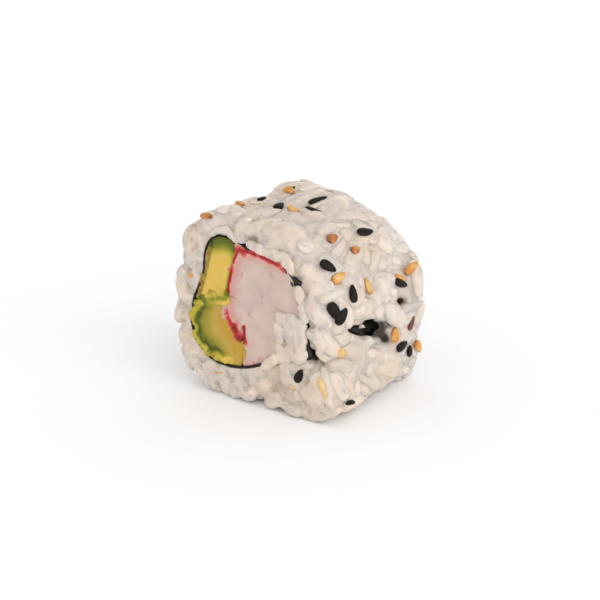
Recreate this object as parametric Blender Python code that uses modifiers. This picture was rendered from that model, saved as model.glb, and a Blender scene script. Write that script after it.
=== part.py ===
"""Uramaki: one cut piece of an inside-out sushi roll, rice outside, filling wrapped in nori.

Units are metres, +Z is up. The roll's axis lies along Y and its two cut ends face -Y and +Y.
The origin is at the centre of the flat side that the piece rests on.

Pieces: a thick ring of rice, the nori sheet rolled inside it with its ends overlapping, two
strips of avocado on the left and two pieces of crab stick (surimi) on the right.
"""

import math

import bmesh
import bpy
from mathutils import Vector, noise

MM = 0.001

# ---- Driving dimensions -----------------------------------------------------------------

ROLL_WIDTH = 38.6 * MM
ROLL_HEIGHT = 36.8 * MM
ROLL_LENGTH = 31.4 * MM

# Radii of the roll's section at its four corners, seen from the -Y end.
RADIUS_TOP_LEFT = 10.2 * MM
RADIUS_TOP_RIGHT = 18.0 * MM
RADIUS_BOTTOM_RIGHT = 5.4 * MM
RADIUS_BOTTOM_LEFT = 10.2 * MM

# The rice bulges out again between grains: lumps one grain across.
GRAIN_WIDTH = 3.4 * MM
LUMP_DEPTH = 0.9 * MM

# Places where the fingers left more rice or less: middle, spread and height, all in mm.
HUMPS = (
    ((19.0, 13.0, 23.5), 4.5, 1.4),
    ((-5.5, 9.0, 37.0), 5.5, 1.8),
    ((2.0, 14.0, 37.0), 4.0, -0.6),
    ((8.5, 15.0, 35.0), 5.5, -2.0),
    ((17.5, 15.0, 29.5), 4.5, -1.8),
    ((-12.0, -8.0, 34.0), 6.0, -1.0),
    ((18.5, 15.0, 5.0), 7.0, -1.7),
)

# Rounding of the rim at each cut end. The knife drags the right side of the -Y end back,
# but not the foot, which stays square.
RIM_RADIUS = 1.8 * MM
RIM_RADIUS_DRAGGED = 6.0 * MM

# A hollow in the right side where a few grains are missing.
HOLLOW_CENTRE = Vector((18.4, -3.4, 15.8)) * MM
HOLLOW_REACH = Vector((6.0, 6.5, 3.2)) * MM
HOLLOW_DEPTH = 2.6 * MM

NORI_THICKNESS = 0.4 * MM
NORI_OVERLAP = 0.16
GAP = 0.3 * MM
FILLING_INSET = 0.3 * MM

# Middle line of the nori's section as (x, z), from the overlap at the top round the right.
NORI_LINE = (
    (-1.9, 32.4), (2.6, 31.5), (7.7, 30.5), (10.3, 26.6), (12.0, 22.0), (13.2, 17.0),
    (13.1, 12.6), (9.4, 10.6), (4.4, 9.7), (-1.0, 7.5), (-5.8, 6.6), (-11.0, 7.3),
    (-14.3, 10.3), (-15.5, 15.0), (-14.3, 20.3), (-12.6, 24.7), (-12.2, 29.6), (-9.9, 32.9),
    (-5.9, 33.6),
)

# Corner points of each filling's section as (x, z); rounding them gives the outline.
AVOCADO_UPPER_CORNERS = (
    (-10.1, 31.2), (-7.3, 32.5), (-3.8, 31.8), (-4.6, 28.3), (-6.0, 24.3), (-6.4, 21.4),
    (-7.7, 21.5), (-9.7, 20.5), (-11.7, 19.6), (-13.7, 18.8), (-12.7, 23.1), (-11.4, 27.0),
)
AVOCADO_LOWER_CORNERS = (
    (-14.1, 17.9), (-11.5, 19.0), (-9.5, 19.9), (-7.6, 20.9), (-6.6, 20.0), (-6.9, 17.6),
    (-5.8, 14.6), (-4.0, 12.0), (-2.6, 10.6), (-2.8, 8.0), (-6.6, 7.7), (-11.0, 8.3),
    (-13.4, 10.8), (-14.7, 14.6),
)
SURIMI_UPPER_CORNERS = (
    (-3.5, 31.0), (0.2, 30.7), (4.0, 30.1), (7.3, 29.4), (9.1, 26.2), (11.2, 21.3),
    (8.3, 20.8), (5.7, 21.1), (0.6, 21.5), (-3.0, 21.3), (-6.0, 21.0), (-5.6, 24.1),
    (-4.3, 27.9),
)
SURIMI_LOWER_CORNERS = (
    (-6.3, 20.6), (-2.8, 20.9), (0.6, 21.1), (5.7, 20.7), (8.3, 20.4), (11.4, 20.9),
    (12.3, 17.0), (11.9, 13.4), (8.8, 11.7), (3.9, 10.9), (-0.8, 8.5), (-2.0, 8.8),
    (-1.9, 13.4), (-2.3, 16.7), (-3.7, 13.8), (-5.0, 14.0), (-6.1, 17.2),
)

# ---- Fineness of the meshes -------------------------------------------------------------

STEPS_AROUND = 84
STEPS_LENGTH = 15
STEPS_RIM = 3
STEPS_END = 3
STEPS_HOLE = 3
NORI_STEPS = 96

HALF_LENGTH = ROLL_LENGTH / 2


# ---- Outlines ---------------------------------------------------------------------------

def rounded(corners, rounds):
    """Cut the corners of a closed outline again and again until it is smooth."""
    points = [Vector(corner) * MM for corner in corners]
    for _ in range(rounds):
        cut = []
        for index, point in enumerate(points):
            following = points[(index + 1) % len(points)]
            cut.append(point.lerp(following, 0.25))
            cut.append(point.lerp(following, 0.75))
        points = cut
    return points


def resampled(points, count):
    """Spread count points evenly along a closed outline."""
    lengths = [(points[(i + 1) % len(points)] - point).length for i, point in enumerate(points)]
    step = sum(lengths) / count
    spread = []
    index = 0
    walked = 0.0
    for number in range(count):
        target = number * step
        while walked + lengths[index] < target:
            walked += lengths[index]
            index += 1
        part = (target - walked) / lengths[index]
        spread.append(points[index].lerp(points[(index + 1) % len(points)], part))
    return spread


def grown(points, distance):
    """Move a closed clockwise outline outward by a distance."""
    moved = []
    for index, point in enumerate(points):
        along = points[(index + 1) % len(points)] - points[index - 1]
        outward = Vector((-along.y, along.x)).normalized()
        moved.append(point + outward * distance)
    return moved


def roll_outline(angle):
    """Point of the roll's section in the direction of angle, as a box with round corners."""
    centre = Vector((0.0, ROLL_HEIGHT / 2))
    direction = Vector((math.cos(angle), math.sin(angle)))
    right = direction.x > 0
    upper = direction.y > 0
    if upper:
        radius = RADIUS_TOP_RIGHT if right else RADIUS_TOP_LEFT
    else:
        radius = RADIUS_BOTTOM_RIGHT if right else RADIUS_BOTTOM_LEFT
    side = ROLL_WIDTH / 2
    reach = ROLL_HEIGHT / 2
    corner = Vector((side - radius, reach - radius))
    flat_x = side / max(abs(direction.x), 1e-9)
    flat_z = reach / max(abs(direction.y), 1e-9)
    distance = min(flat_x, flat_z)
    hit = Vector((abs(direction.x), abs(direction.y))) * distance
    if hit.x > corner.x and hit.y > corner.y:
        unit = Vector((abs(direction.x), abs(direction.y)))
        middle = unit.dot(corner)
        distance = middle + math.sqrt(middle * middle - corner.length_squared + radius * radius)
    return centre + direction * distance


def hole_point(outline, centre, angle):
    """Point where a ray from centre in the direction of angle leaves a closed outline."""
    direction = Vector((math.cos(angle), math.sin(angle)))
    across = Vector((-direction.y, direction.x))
    for index, point in enumerate(outline):
        start = point - centre
        end = outline[(index + 1) % len(outline)] - centre
        side_start = start.dot(across)
        side_end = end.dot(across)
        if side_start * side_end <= 0 and side_start != side_end:
            hit = start.lerp(end, side_start / (side_start - side_end))
            if hit.dot(direction) > 0:
                return centre + hit
    raise ValueError("the outline doesn't surround its centre")


# ---- Materials --------------------------------------------------------------------------

def material(name, colour, roughness):
    made = bpy.data.materials.new(name)
    made.use_nodes = True
    shader = made.node_tree.nodes["Principled BSDF"]
    shader.inputs["Base Color"].default_value = (*colour, 1.0)
    shader.inputs["Roughness"].default_value = roughness
    shader.inputs["Metallic"].default_value = 0.0
    made.diffuse_color = (*colour, 1.0)
    return made


# ---- Rice -------------------------------------------------------------------------------

def wall_section():
    """Stations once round the wall of the rice ring: outside, -Y end, hole, +Y end.

    Each station is (kind, end, part): the surface it lies on, which end, and how far along.
    """
    stations = []
    half = STEPS_LENGTH // 2
    for step in range(half + 1):
        stations.append(("outside", -1, step / (half + 0.5)))
    for end in (-1, 1):
        rim = [("rim", end, step / STEPS_RIM) for step in range(STEPS_RIM + 1)]
        cut = [("cut", end, step / STEPS_END) for step in range(1, STEPS_END + 1)]
        if end < 0:
            stations += rim + cut
            stations += [("hole", -1, step / STEPS_HOLE) for step in range(1, STEPS_HOLE)]
        else:
            stations += list(reversed(cut)) + list(reversed(rim))
    for step in range(half, 0, -1):
        stations.append(("outside", 1, step / (half + 0.5)))
    return stations


def rim_radius(end, direction):
    """The dragged rim is on the right of the -Y end and fades out to the left."""
    if end > 0:
        return RIM_RADIUS
    dragged = max(0.0, min(1.0, 0.5 + 1.2 * direction.x))
    dragged *= max(0.0, min(1.0, 1.9 + 2.4 * direction.y))
    return RIM_RADIUS + (RIM_RADIUS_DRAGGED - RIM_RADIUS) * dragged


def lump(point):
    """Height between 0 and 1 of a surface made of lumps one grain wide."""
    nearest = noise.voronoi(point / GRAIN_WIDTH)[0][0]
    return max(0.0, 1.0 - 1.6 * nearest * nearest)


def hump(point):
    """How much rice the fingers left at a point, in metres, less than zero where they took it."""
    total = 0.0
    for middle, spread, height in HUMPS:
        away = (point - Vector(middle) * MM).length / (spread * MM)
        total += height * MM * math.exp(-away * away)
    return total


def hollow(point):
    """How deep the missing grains' hollow is at a point, between 0 and 1."""
    away = point - HOLLOW_CENTRE
    scaled = Vector((away.x / HOLLOW_REACH.x, away.y / HOLLOW_REACH.y, away.z / HOLLOW_REACH.z))
    return math.exp(-scaled.length_squared)


def rice_point(outer, inner, station):
    """Place one vertex of the ring from its place round the roll and round the wall."""
    kind, end, part = station
    wall = (inner - outer).length
    inward = (inner - outer).normalized()
    outward = Vector((-inward.x, 0.0, -inward.y))
    radius = min(rim_radius(end, -inward), 0.8 * wall)
    facing = outward
    depth = 0.0
    if kind == "outside":
        along = end * part * (HALF_LENGTH - radius)
    elif kind == "rim":
        turn = part * math.pi / 2
        along = end * (HALF_LENGTH - radius + radius * math.sin(turn))
        depth = radius * (1 - math.cos(turn))
        facing = outward * math.cos(turn) + Vector((0.0, end * math.sin(turn), 0.0))
    elif kind == "cut":
        along = end * HALF_LENGTH
        depth = radius + part * (wall - radius)
        facing = Vector((0.0, end, 0.0))
    else:
        along = HALF_LENGTH * (2 * part - 1)
        depth = wall
        facing = Vector((0.0, 0.0, 0.0))
    section = outer + inward * depth
    point = Vector((section.x, along, section.y))
    rise = (lump(point) - 0.55) * LUMP_DEPTH
    if kind == "cut":
        rise *= 0.5 * (1 - part)
    point += facing * rise
    if kind in ("outside", "rim"):
        point += outward * (hump(point) - HOLLOW_DEPTH * hollow(point))
    return point


def make_rice(hole_outline, look):
    """A torus primitive whose tube becomes the square wall of the rice ring."""
    stations = wall_section()
    bpy.ops.mesh.primitive_torus_add(
        major_segments=STEPS_AROUND, minor_segments=len(stations),
        major_radius=1.0, minor_radius=0.25)
    rice = bpy.context.object
    rice.name = "rice"
    rice.data.name = "rice"
    centre = Vector((-1.9 * MM, 20.2 * MM))
    mesh = rice.data
    for around in range(STEPS_AROUND):
        outer = roll_outline(2 * math.pi * around / STEPS_AROUND)
        away = outer - centre
        inner = hole_point(hole_outline, centre, math.atan2(away.y, away.x))
        for number, station in enumerate(stations):
            vertex = mesh.vertices[around * len(stations) + number]
            vertex.co = rice_point(outer, inner, station)
            vertex.co.z = max(vertex.co.z, 0.0)
    settle_base(mesh)
    mesh.shade_smooth()
    mesh.set_sharp_from_angle(angle=math.radians(50))
    mesh.materials.append(look)
    return rice


def settle_base(mesh):
    """Press the underside flat, as the rice is where the piece rests."""
    for vertex in mesh.vertices:
        inside_rim = abs(vertex.co.y) < HALF_LENGTH - 0.5 * RIM_RADIUS
        if vertex.co.z < 0.45 * LUMP_DEPTH and inside_rim:
            vertex.co.z = 0.0


# ---- Nori -------------------------------------------------------------------------------

def make_nori(line, look):
    """A thin sheet that goes once round and laps a little under its own start."""
    count = NORI_STEPS
    loop = resampled(line, count)
    lap_steps = int(count * NORI_OVERLAP)
    inset = grown(loop, -(NORI_THICKNESS + GAP))
    path = []
    for step in range(count + lap_steps):
        under = max(0.0, min(1.0, (step - count + 10) / 9))
        path.append(loop[step % count].lerp(inset[step % count], under))
    curve = bpy.data.curves.new("nori", type="CURVE")
    curve.dimensions = "3D"
    curve.extrude = HALF_LENGTH - FILLING_INSET
    spline = curve.splines.new("POLY")
    spline.points.add(len(path) - 1)
    for point, place in zip(spline.points, path):
        point.co = (place.x, place.y, 0.0, 1.0)
    nori = mesh_from_curve(curve, "nori", look)
    sheet = nori.modifiers.new("thickness", "SOLIDIFY")
    sheet.thickness = NORI_THICKNESS
    sheet.offset = 0.0
    sheet.use_even_offset = True
    return nori


# ---- Fillings ---------------------------------------------------------------------------

def make_filling(name, corners, look, length):
    """A strip that runs the length of the roll, with its section's outline rounded."""
    curve = bpy.data.curves.new(name, type="CURVE")
    curve.dimensions = "2D"
    curve.fill_mode = "BOTH"
    curve.extrude = length / 2
    outline = rounded(corners, 2)
    spline = curve.splines.new("POLY")
    spline.points.add(len(outline) - 1)
    spline.use_cyclic_u = True
    for point, place in zip(spline.points, outline):
        point.co = (place.x, place.y, 0.0, 1.0)
    return mesh_from_curve(curve, name, look)


def mesh_from_curve(curve, name, look):
    """Turn a curve drawn in the XY plane into a mesh that stands in the XZ plane."""
    guide = bpy.data.objects.new(name + "_curve", curve)
    parts.objects.link(guide)
    guide.rotation_euler = (math.pi / 2, 0.0, 0.0)
    bpy.context.view_layer.update()
    evaluated = guide.evaluated_get(bpy.context.evaluated_depsgraph_get())
    mesh = bpy.data.meshes.new_from_object(evaluated)
    mesh.name = name
    shape = bmesh.new()
    shape.from_mesh(mesh)
    bmesh.ops.remove_doubles(shape, verts=shape.verts, dist=0.00001)
    bmesh.ops.recalc_face_normals(shape, faces=shape.faces)
    shape.to_mesh(mesh)
    shape.free()
    made = bpy.data.objects.new(name, mesh)
    made.matrix_world = guide.matrix_world
    parts.objects.link(made)
    bpy.data.objects.remove(guide)
    mesh.materials.clear()
    mesh.materials.append(look)
    mesh.shade_smooth()
    mesh.set_sharp_from_angle(angle=math.radians(40))
    return made


# ---- Assembly ---------------------------------------------------------------------------

for old in list(bpy.data.objects):
    bpy.data.objects.remove(old)

parts = bpy.data.collections.new("uramaki_roll")
bpy.context.scene.collection.children.link(parts)

nori_line = rounded(NORI_LINE, 2)
hole_line = resampled(grown(nori_line, NORI_THICKNESS / 2 + GAP), 120)

rice_look = material("steamed rice", (0.83, 0.79, 0.73), 0.38)
nori_look = material("nori", (0.010, 0.014, 0.009), 0.35)
avocado_look = material("avocado", (0.62, 0.60, 0.16), 0.45)
surimi_look = material("surimi", (0.85, 0.74, 0.68), 0.42)

rice_ring = make_rice(hole_line, rice_look)
for collection in list(rice_ring.users_collection):
    collection.objects.unlink(rice_ring)
parts.objects.link(rice_ring)

pieces = [rice_ring, make_nori(nori_line, nori_look)]
filling_length = ROLL_LENGTH - 2 * FILLING_INSET
pieces.append(make_filling("avocado_upper", AVOCADO_UPPER_CORNERS, avocado_look, filling_length))
pieces.append(make_filling("avocado_lower", AVOCADO_LOWER_CORNERS, avocado_look, filling_length))
pieces.append(make_filling("surimi_upper", SURIMI_UPPER_CORNERS, surimi_look, filling_length))
pieces.append(make_filling("surimi_lower", SURIMI_LOWER_CORNERS, surimi_look, filling_length))

# One empty carries all pieces and centres the lumpy ring over the origin.
middle_x = (max(v.co.x for v in rice_ring.data.vertices)
            + min(v.co.x for v in rice_ring.data.vertices)) / 2
middle_y = (max(v.co.y for v in rice_ring.data.vertices)
            + min(v.co.y for v in rice_ring.data.vertices)) / 2
roll = bpy.data.objects.new("roll", None)
parts.objects.link(roll)
roll.location = (-middle_x, -middle_y, 0.0)
for piece in pieces:
    piece.parent = roll
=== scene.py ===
"""The looks of one piece of uramaki, an inside-out sushi roll, built round its pressed solids.

Run as a script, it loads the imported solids, builds each piece with its own operator and stages
the result. Lengths are metres; MM is one millimetre. The roll's axis lies along Y, +Z is up.
"""

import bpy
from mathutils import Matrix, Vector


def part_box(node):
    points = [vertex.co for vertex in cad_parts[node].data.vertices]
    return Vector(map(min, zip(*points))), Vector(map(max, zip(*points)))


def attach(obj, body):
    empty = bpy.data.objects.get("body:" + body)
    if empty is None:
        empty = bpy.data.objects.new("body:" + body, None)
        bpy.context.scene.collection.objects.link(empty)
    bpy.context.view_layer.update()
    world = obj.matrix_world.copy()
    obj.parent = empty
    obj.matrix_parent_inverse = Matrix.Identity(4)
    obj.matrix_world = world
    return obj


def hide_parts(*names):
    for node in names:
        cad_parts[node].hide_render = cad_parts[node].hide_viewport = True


bl_info = {
    "name": "Uramaki Roll",
    "version": (1, 0, 0),
    "blender": (4, 5, 0),
    "location": "View3D > Sidebar > Uramaki",
    "description": "Builds a piece of inside-out sushi roll, grain by grain, round its solids",
    "category": "Add Mesh",
}

import math

import bmesh
import bpy
import numpy as np
from mathutils import Vector
from mathutils.bvhtree import BVHTree

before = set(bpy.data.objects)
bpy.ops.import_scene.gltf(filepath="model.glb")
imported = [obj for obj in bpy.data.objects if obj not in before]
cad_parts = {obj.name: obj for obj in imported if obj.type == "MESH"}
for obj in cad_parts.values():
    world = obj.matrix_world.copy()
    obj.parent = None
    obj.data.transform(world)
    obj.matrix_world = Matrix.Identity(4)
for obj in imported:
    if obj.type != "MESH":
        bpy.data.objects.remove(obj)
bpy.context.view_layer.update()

MM = 0.001
RICE_LOW, RICE_HIGH = (np.array(corner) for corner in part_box("rice"))
NORI_LOW, NORI_HIGH = (np.array(corner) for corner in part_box("nori"))

# Each random draw starts from its own number, so that every build is the same.
GRAIN_DRAW = 5
PIT_DRAW = 17
AVOCADO_DRAW = 21
SMEAR_DRAW = 29
SESAME_DRAW = 37


def linear(hex_colour):
    """An sRGB colour such as 'E8DCCB' as linear red, green, blue and alpha."""
    parts = [int(hex_colour[i:i + 2], 16) / 255 for i in (0, 2, 4)]
    parts = [p / 12.92 if p <= 0.04045 else ((p + 0.055) / 1.055) ** 2.4 for p in parts]
    return (*parts, 1.0)


# ---- The form that the rice was pressed into --------------------------------------------

# The solid's box is the plain form plus single grains all round and the humps below.
LUMPS = 0.35 * MM
SIDE_HUMP = 0.35 * MM
TOP_HUMP = 1.9 * MM
HALF_WIDTH = (RICE_HIGH[0] - RICE_LOW[0]) / 2 - LUMPS - SIDE_HUMP
HALF_LENGTH = (RICE_HIGH[1] - RICE_LOW[1]) / 2 - LUMPS
HALF_HEIGHT = (RICE_HIGH[2] - RICE_LOW[2] - LUMPS - TOP_HUMP) / 2

RADIUS_TOP_LEFT = 10.2 * MM
RADIUS_TOP_RIGHT = 18.0 * MM
RADIUS_BOTTOM_RIGHT = 5.4 * MM
RADIUS_BOTTOM_LEFT = 10.2 * MM
RIM_RADIUS = 1.6 * MM

# At the -Y end the knife dragged the rim rounder and rounder towards the right, from DRAG_FOOT
# up. The table keeps the lowest FOOT_HEIGHT free of humps.
RIM_RADIUS_DRAGGED = 6.0 * MM
DRAG_FOOT = 2 * MM
DRAG_FADE = 8 * MM
FOOT_HEIGHT = 3 * MM

# Slow waves that keep the pressed sides from being flat: (height in mm, turns per mm, phase).
SWAYS = (
    (0.34, (0.031, 0.042, 0.021), 0.9),
    (0.30, (-0.052, 0.033, 0.044), 2.4),
    (0.22, (0.074, -0.061, 0.070), 4.1),
    (0.16, (0.020, 0.110, -0.095), 5.3),
)

# Places where the fingers left more rice or less: middle, spread and height, in mm.
HUMPS = (
    ((19.0, 13.0, 23.5), 4.5, 1.4),
    ((-5.5, 9.0, 37.0), 5.5, 1.8),
    ((2.0, 14.0, 37.0), 4.0, -0.6),
    ((8.5, 15.0, 35.0), 5.5, -2.0),
    ((17.5, 15.0, 29.5), 4.5, -1.8),
    ((-12.0, -8.0, 34.0), 6.0, -1.0),
    ((18.5, 15.0, 5.0), 7.0, -1.7),
    ((7.2, 0.6, 36.0), 2.3, -1.5),
    ((-13.0, 11.0, 36.2), 3.0, 1.0),
    ((-4.0, 12.0, 38.0), 3.0, -0.9),
    ((3.6, 14.3, 35.2), 2.4, -1.0),
    ((-10.2, -11.5, 36.6), 1.8, 0.8),
)


def close_to(points, middle, spread):
    """1 at a place and fading to 0 round it; place and spread in mm."""
    away = np.linalg.norm(points - np.array(middle) * MM, axis=1)
    return np.exp(-(away / (spread * MM)) ** 2)


def sway(points):
    """How far the pressed form stands out of its plain box at each point."""
    total = np.zeros(len(points))
    for middle, spread, height in HUMPS:
        total += height * MM * close_to(points, middle, spread)
    for height, turns, phase in SWAYS:
        total += height * MM * np.sin(points @ (np.array(turns) * 2 * math.pi / MM) + phase)
    return total


def press_distance(points):
    """Distance of points from the pressed form, positive outside it."""
    x = points[:, 0]
    y = points[:, 1]
    z = points[:, 2] - HALF_HEIGHT
    top = np.where(x > 0, RADIUS_TOP_RIGHT, RADIUS_TOP_LEFT)
    bottom = np.where(x > 0, RADIUS_BOTTOM_RIGHT, RADIUS_BOTTOM_LEFT)
    radius = np.where(z > 0, top, bottom)
    over_x = np.abs(x) - HALF_WIDTH + radius
    over_z = np.abs(z) - HALF_HEIGHT + radius
    inner = np.minimum(np.maximum(over_x, over_z), 0)
    section = inner + np.hypot(np.maximum(over_x, 0), np.maximum(over_z, 0)) - radius
    section = section - sway(points) * np.clip(points[:, 2] / FOOT_HEIGHT, 0, 1)
    dragged = np.where(y < 0, np.clip(0.1 + 1.1 * x / HALF_WIDTH, 0, 1), 0)
    dragged = dragged * np.clip((points[:, 2] - DRAG_FOOT) / DRAG_FADE, 0, 1)
    rim = RIM_RADIUS + (RIM_RADIUS_DRAGGED - RIM_RADIUS) * dragged
    over_side = section + rim
    over_end = np.abs(y) - HALF_LENGTH + rim
    inner = np.minimum(np.maximum(over_side, over_end), 0)
    return inner + np.hypot(np.maximum(over_side, 0), np.maximum(over_end, 0)) - rim


def press_normal(points):
    """Outward directions of the pressed form at each point."""
    step = 0.05 * MM
    normal = np.empty_like(points)
    for axis in range(3):
        shift = np.zeros(3)
        shift[axis] = step
        normal[:, axis] = press_distance(points + shift) - press_distance(points - shift)
    return unit(normal)


def unit(vectors):
    """Vectors scaled to length one."""
    lengths = np.linalg.norm(vectors, axis=-1, keepdims=True)
    return vectors / np.maximum(lengths, 1e-12)


def onto_form(points, depth):
    """Move points along the form's normals until each lies at its depth below it."""
    for _ in range(4):
        off = press_distance(points) + depth
        points = points - press_normal(points) * off[:, None]
    return points


# ---- The nori's edge, which the rice keeps off ------------------------------------------

EDGE_STEPS = 90

# The sheet is pulled in where the hand held the roll: middle (x, z), spread and depth, in mm.
PINCH = ((-12.0, 27.0), 9.0, 1.15)


def pinched(places):
    """How far the nori is pulled in at each (x, z)."""
    middle, spread, depth = PINCH
    return depth * MM * close_to(places, middle, spread)


def read_nori_edge():
    """Centre of the filling and the nori's reach from it, direction by direction."""
    corners = np.array([v.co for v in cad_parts["nori"].data.vertices])
    centre = (NORI_LOW + NORI_HIGH)[[0, 2]] / 2
    away = corners[:, [0, 2]] - centre
    angle = np.arctan2(away[:, 1], away[:, 0])
    slot = ((angle + math.pi) / (2 * math.pi) * EDGE_STEPS).astype(int) % EDGE_STEPS
    reach = np.zeros(EDGE_STEPS)
    np.maximum.at(reach, slot, np.linalg.norm(away, axis=1))
    filled = reach > 0
    numbers = np.arange(EDGE_STEPS)
    reach = np.interp(numbers, numbers[filled], reach[filled], period=EDGE_STEPS)
    for _ in range(2):
        reach = (np.roll(reach, 1) + 2 * reach + np.roll(reach, -1)) / 4
    turn = (numbers + 0.5) / EDGE_STEPS * 2 * math.pi - math.pi
    edge = centre + reach[:, None] * np.stack([np.cos(turn), np.sin(turn)], axis=1)
    return centre, reach - pinched(edge)


FILLING_CENTRE, NORI_REACH = read_nori_edge()


def off_nori(points):
    """How far points lie outside the nori, and the directions away from the filling."""
    away = points[:, [0, 2]] - FILLING_CENTRE
    distance = np.linalg.norm(away, axis=1)
    angle = np.arctan2(away[:, 1], away[:, 0])
    place = (angle + math.pi) / (2 * math.pi) * EDGE_STEPS - 0.5
    reach = np.interp(place, np.arange(EDGE_STEPS), NORI_REACH, period=EDGE_STEPS)
    outward = np.zeros_like(points)
    outward[:, [0, 2]] = away / np.maximum(distance, 1e-9)[:, None]
    return distance - reach, outward


# ---- Settings ---------------------------------------------------------------------------

class UramakiRiceSettings(bpy.types.PropertyGroup):
    """Sizes and colours of the rice."""

    grain_length: bpy.props.FloatProperty(
        name="Grain length", description="Length of an average boiled grain",
        default=6.9 * MM, min=4 * MM, max=9 * MM, subtype="DISTANCE", unit="LENGTH")
    grain_width: bpy.props.FloatProperty(
        name="Grain width", description="Width of an average boiled grain",
        default=3.3 * MM, min=2 * MM, max=5 * MM, subtype="DISTANCE", unit="LENGTH")
    surface_grains: bpy.props.IntProperty(
        name="Grains on top", description="Grains in the outermost layer",
        default=330, min=50, max=450)
    under_grains: bpy.props.IntProperty(
        name="Grains below", description="Grains that show between those on top",
        default=150, min=0, max=300)
    colour: bpy.props.FloatVectorProperty(
        name="Rice colour", description="Colour of a grain's starchy body",
        default=linear("D1C4B9")[:3], size=3, min=0, max=1, subtype="COLOR")


class UramakiSeedSettings(bpy.types.PropertyGroup):
    """Sizes of the sesame seeds."""

    length: bpy.props.FloatProperty(
        name="Seed length", description="Length of an average sesame seed",
        default=3.1 * MM, min=2 * MM, max=5 * MM, subtype="DISTANCE", unit="LENGTH")
    width: bpy.props.FloatProperty(
        name="Seed width", description="Width of an average sesame seed",
        default=1.75 * MM, min=1 * MM, max=3 * MM, subtype="DISTANCE", unit="LENGTH")
    hidden_count: bpy.props.IntProperty(
        name="Scattered seeds", description="Seeds strewn over the left side",
        default=24, min=0, max=200)


# ---- Mesh and material helpers ----------------------------------------------------------

def set_values(node, settings):
    """Set a shader node's properties, its inputs and its colour stops."""
    for name, value in settings.items():
        if name == "stops":
            elements = node.color_ramp.elements
            while len(elements) < len(value):
                elements.new(0.5)
            for element, (place, colour) in zip(elements, value):
                element.position = place
                element.color = linear(colour) if isinstance(colour, str) else colour
        elif isinstance(name, int) or not hasattr(node, name):
            node.inputs[name].default_value = value
        else:
            setattr(node, name, value)


def add_node(tree, kind, settings=None, links=None):
    """Add a shader node of a kind, with its settings and links."""
    made = tree.nodes.new("ShaderNode" + kind)
    set_values(made, settings or {})
    for name, socket in (links or {}).items():
        tree.links.new(socket, made.inputs[name])
    return made


def new_material(name):
    """A node material's tree and shader, with the material itself."""
    material = bpy.data.materials.new(name)
    material.use_nodes = True
    tree = material.node_tree
    return material, tree, tree.nodes["Principled BSDF"]


def shade(colour, factor):
    """A lighter or darker copy of a linear colour, with alpha."""
    return (*(min(1.0, part * factor) for part in colour[:3]), 1.0)


def mesh_of(name, vertices, faces):
    """A mesh made of vertex and face arrays."""
    mesh = bpy.data.meshes.new(name)
    mesh.from_pydata([tuple(v) for v in vertices], [], [tuple(f) for f in faces])
    mesh.validate()
    return mesh


def mesh_from(shape, name):
    """A mesh made of an edited shape, which is let go."""
    mesh = bpy.data.meshes.new(name)
    shape.to_mesh(mesh)
    shape.free()
    return mesh


def new_piece(mesh, material):
    """A smooth object named like its mesh, in the solids' frame, that rides on the roll."""
    mesh.shade_smooth()
    mesh.materials.clear()
    mesh.materials.append(material)
    piece = bpy.data.objects.new(mesh.name, mesh)
    bpy.context.scene.collection.objects.link(piece)
    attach(piece, "root")
    return piece


def set_attribute(piece, name, values):
    """Store one number for each vertex of a piece, for its material to read."""
    attribute = piece.data.attributes.new(name, "FLOAT", "POINT")
    attribute.data.foreach_set("value", np.asarray(values, dtype=np.float32))


# ---- Rice: where the grains lie ---------------------------------------------------------

SETTLE_ROUNDS = 70

# How deep below the form a grain's middle lies, in mm: on top, underneath, round the hollows.
TOP_DEPTH = (0.8, 1.9)
UNDER_DEPTH = (2.4, 3.2)
LINING_DEPTH = 3.2 * MM
LINING_GRAINS = 26

# Packed grains touch at this share of their widths, as they are soft.
SQUEEZE = 0.86

# Shares of an overlap that grains give way in one round, and the furthest that one may move.
PUSH_SHARE = 0.35
TIP_SHARE = 0.4
HOLLOW_SHARE = 0.5
LONGEST_MOVE = 0.8 * MM

# Grains vary in length and width, in thickness to width, and in what is left of broken ones.
GRAIN_SPREAD = (0.80, 1.14)
GRAIN_FLATNESS = (0.76, 0.96)
BROKEN_SHARE = 0.2
BROKEN_LEFT = (0.5, 0.7)

# How steeply grains stand: the usual spread and the most on the sides, and at the cut ends.
SIDE_TILT = 0.17
MOST_TILT = 0.4
UNDER_TILT = 1.5
CUT_TILT = 0.95

# How far grains may stand out of the form, in mm: on the sides and at the cut ends. A few on
# the sides were left higher.
SIDE_RISE = (-0.25, 0.45)
CUT_RISE = (-0.15, 0.10)
HIGHER_SHARE = 0.10
HIGHER = 0.6 * MM

# Hollows where grains have come away and the nori shows: outer end, inner end, radius, in mm.
HOLLOWS = (
    ((21.0, -12.2, 18.7), (14.5, -4.5, 15.0), 1.0),
    ((21.0, -9.6, 18.4), (13.5, -0.5, 14.3), 1.5),
    ((21.0, -7.2, 18.1), (13.2, 3.0, 13.6), 2.1),
    ((21.5, -4.6, 16.7), (14.0, 5.0, 12.6), 1.9),
    ((21.5, -1.6, 14.4), (15.0, 5.5, 11.5), 1.2),
    ((20.5, 4.1, 19.9), (14.5, 13.3, 16.4), 0.9),
    ((11.0, -16.5, 28.0), (10.4, -14.5, 26.3), 0.5),
    ((14.2, -17.3, 13.2), (13.0, -13.0, 12.7), 1.1),
    ((15.0, -17.0, 12.6), (13.6, -13.5, 12.1), 0.8),
)

# Their walls are ragged by this share of the radius, in lumps of this size.
HOLLOW_RAGGED = 0.22
HOLLOW_LUMPS = 3.0 * MM

# How far grains and mash may lean into a hollow, and the furthest that mash is pushed back.
GRAIN_LEAN = 0.2 * MM
MASH_LEAN = 0.4 * MM
MASH_SHIFT = 0.5 * MM

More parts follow.
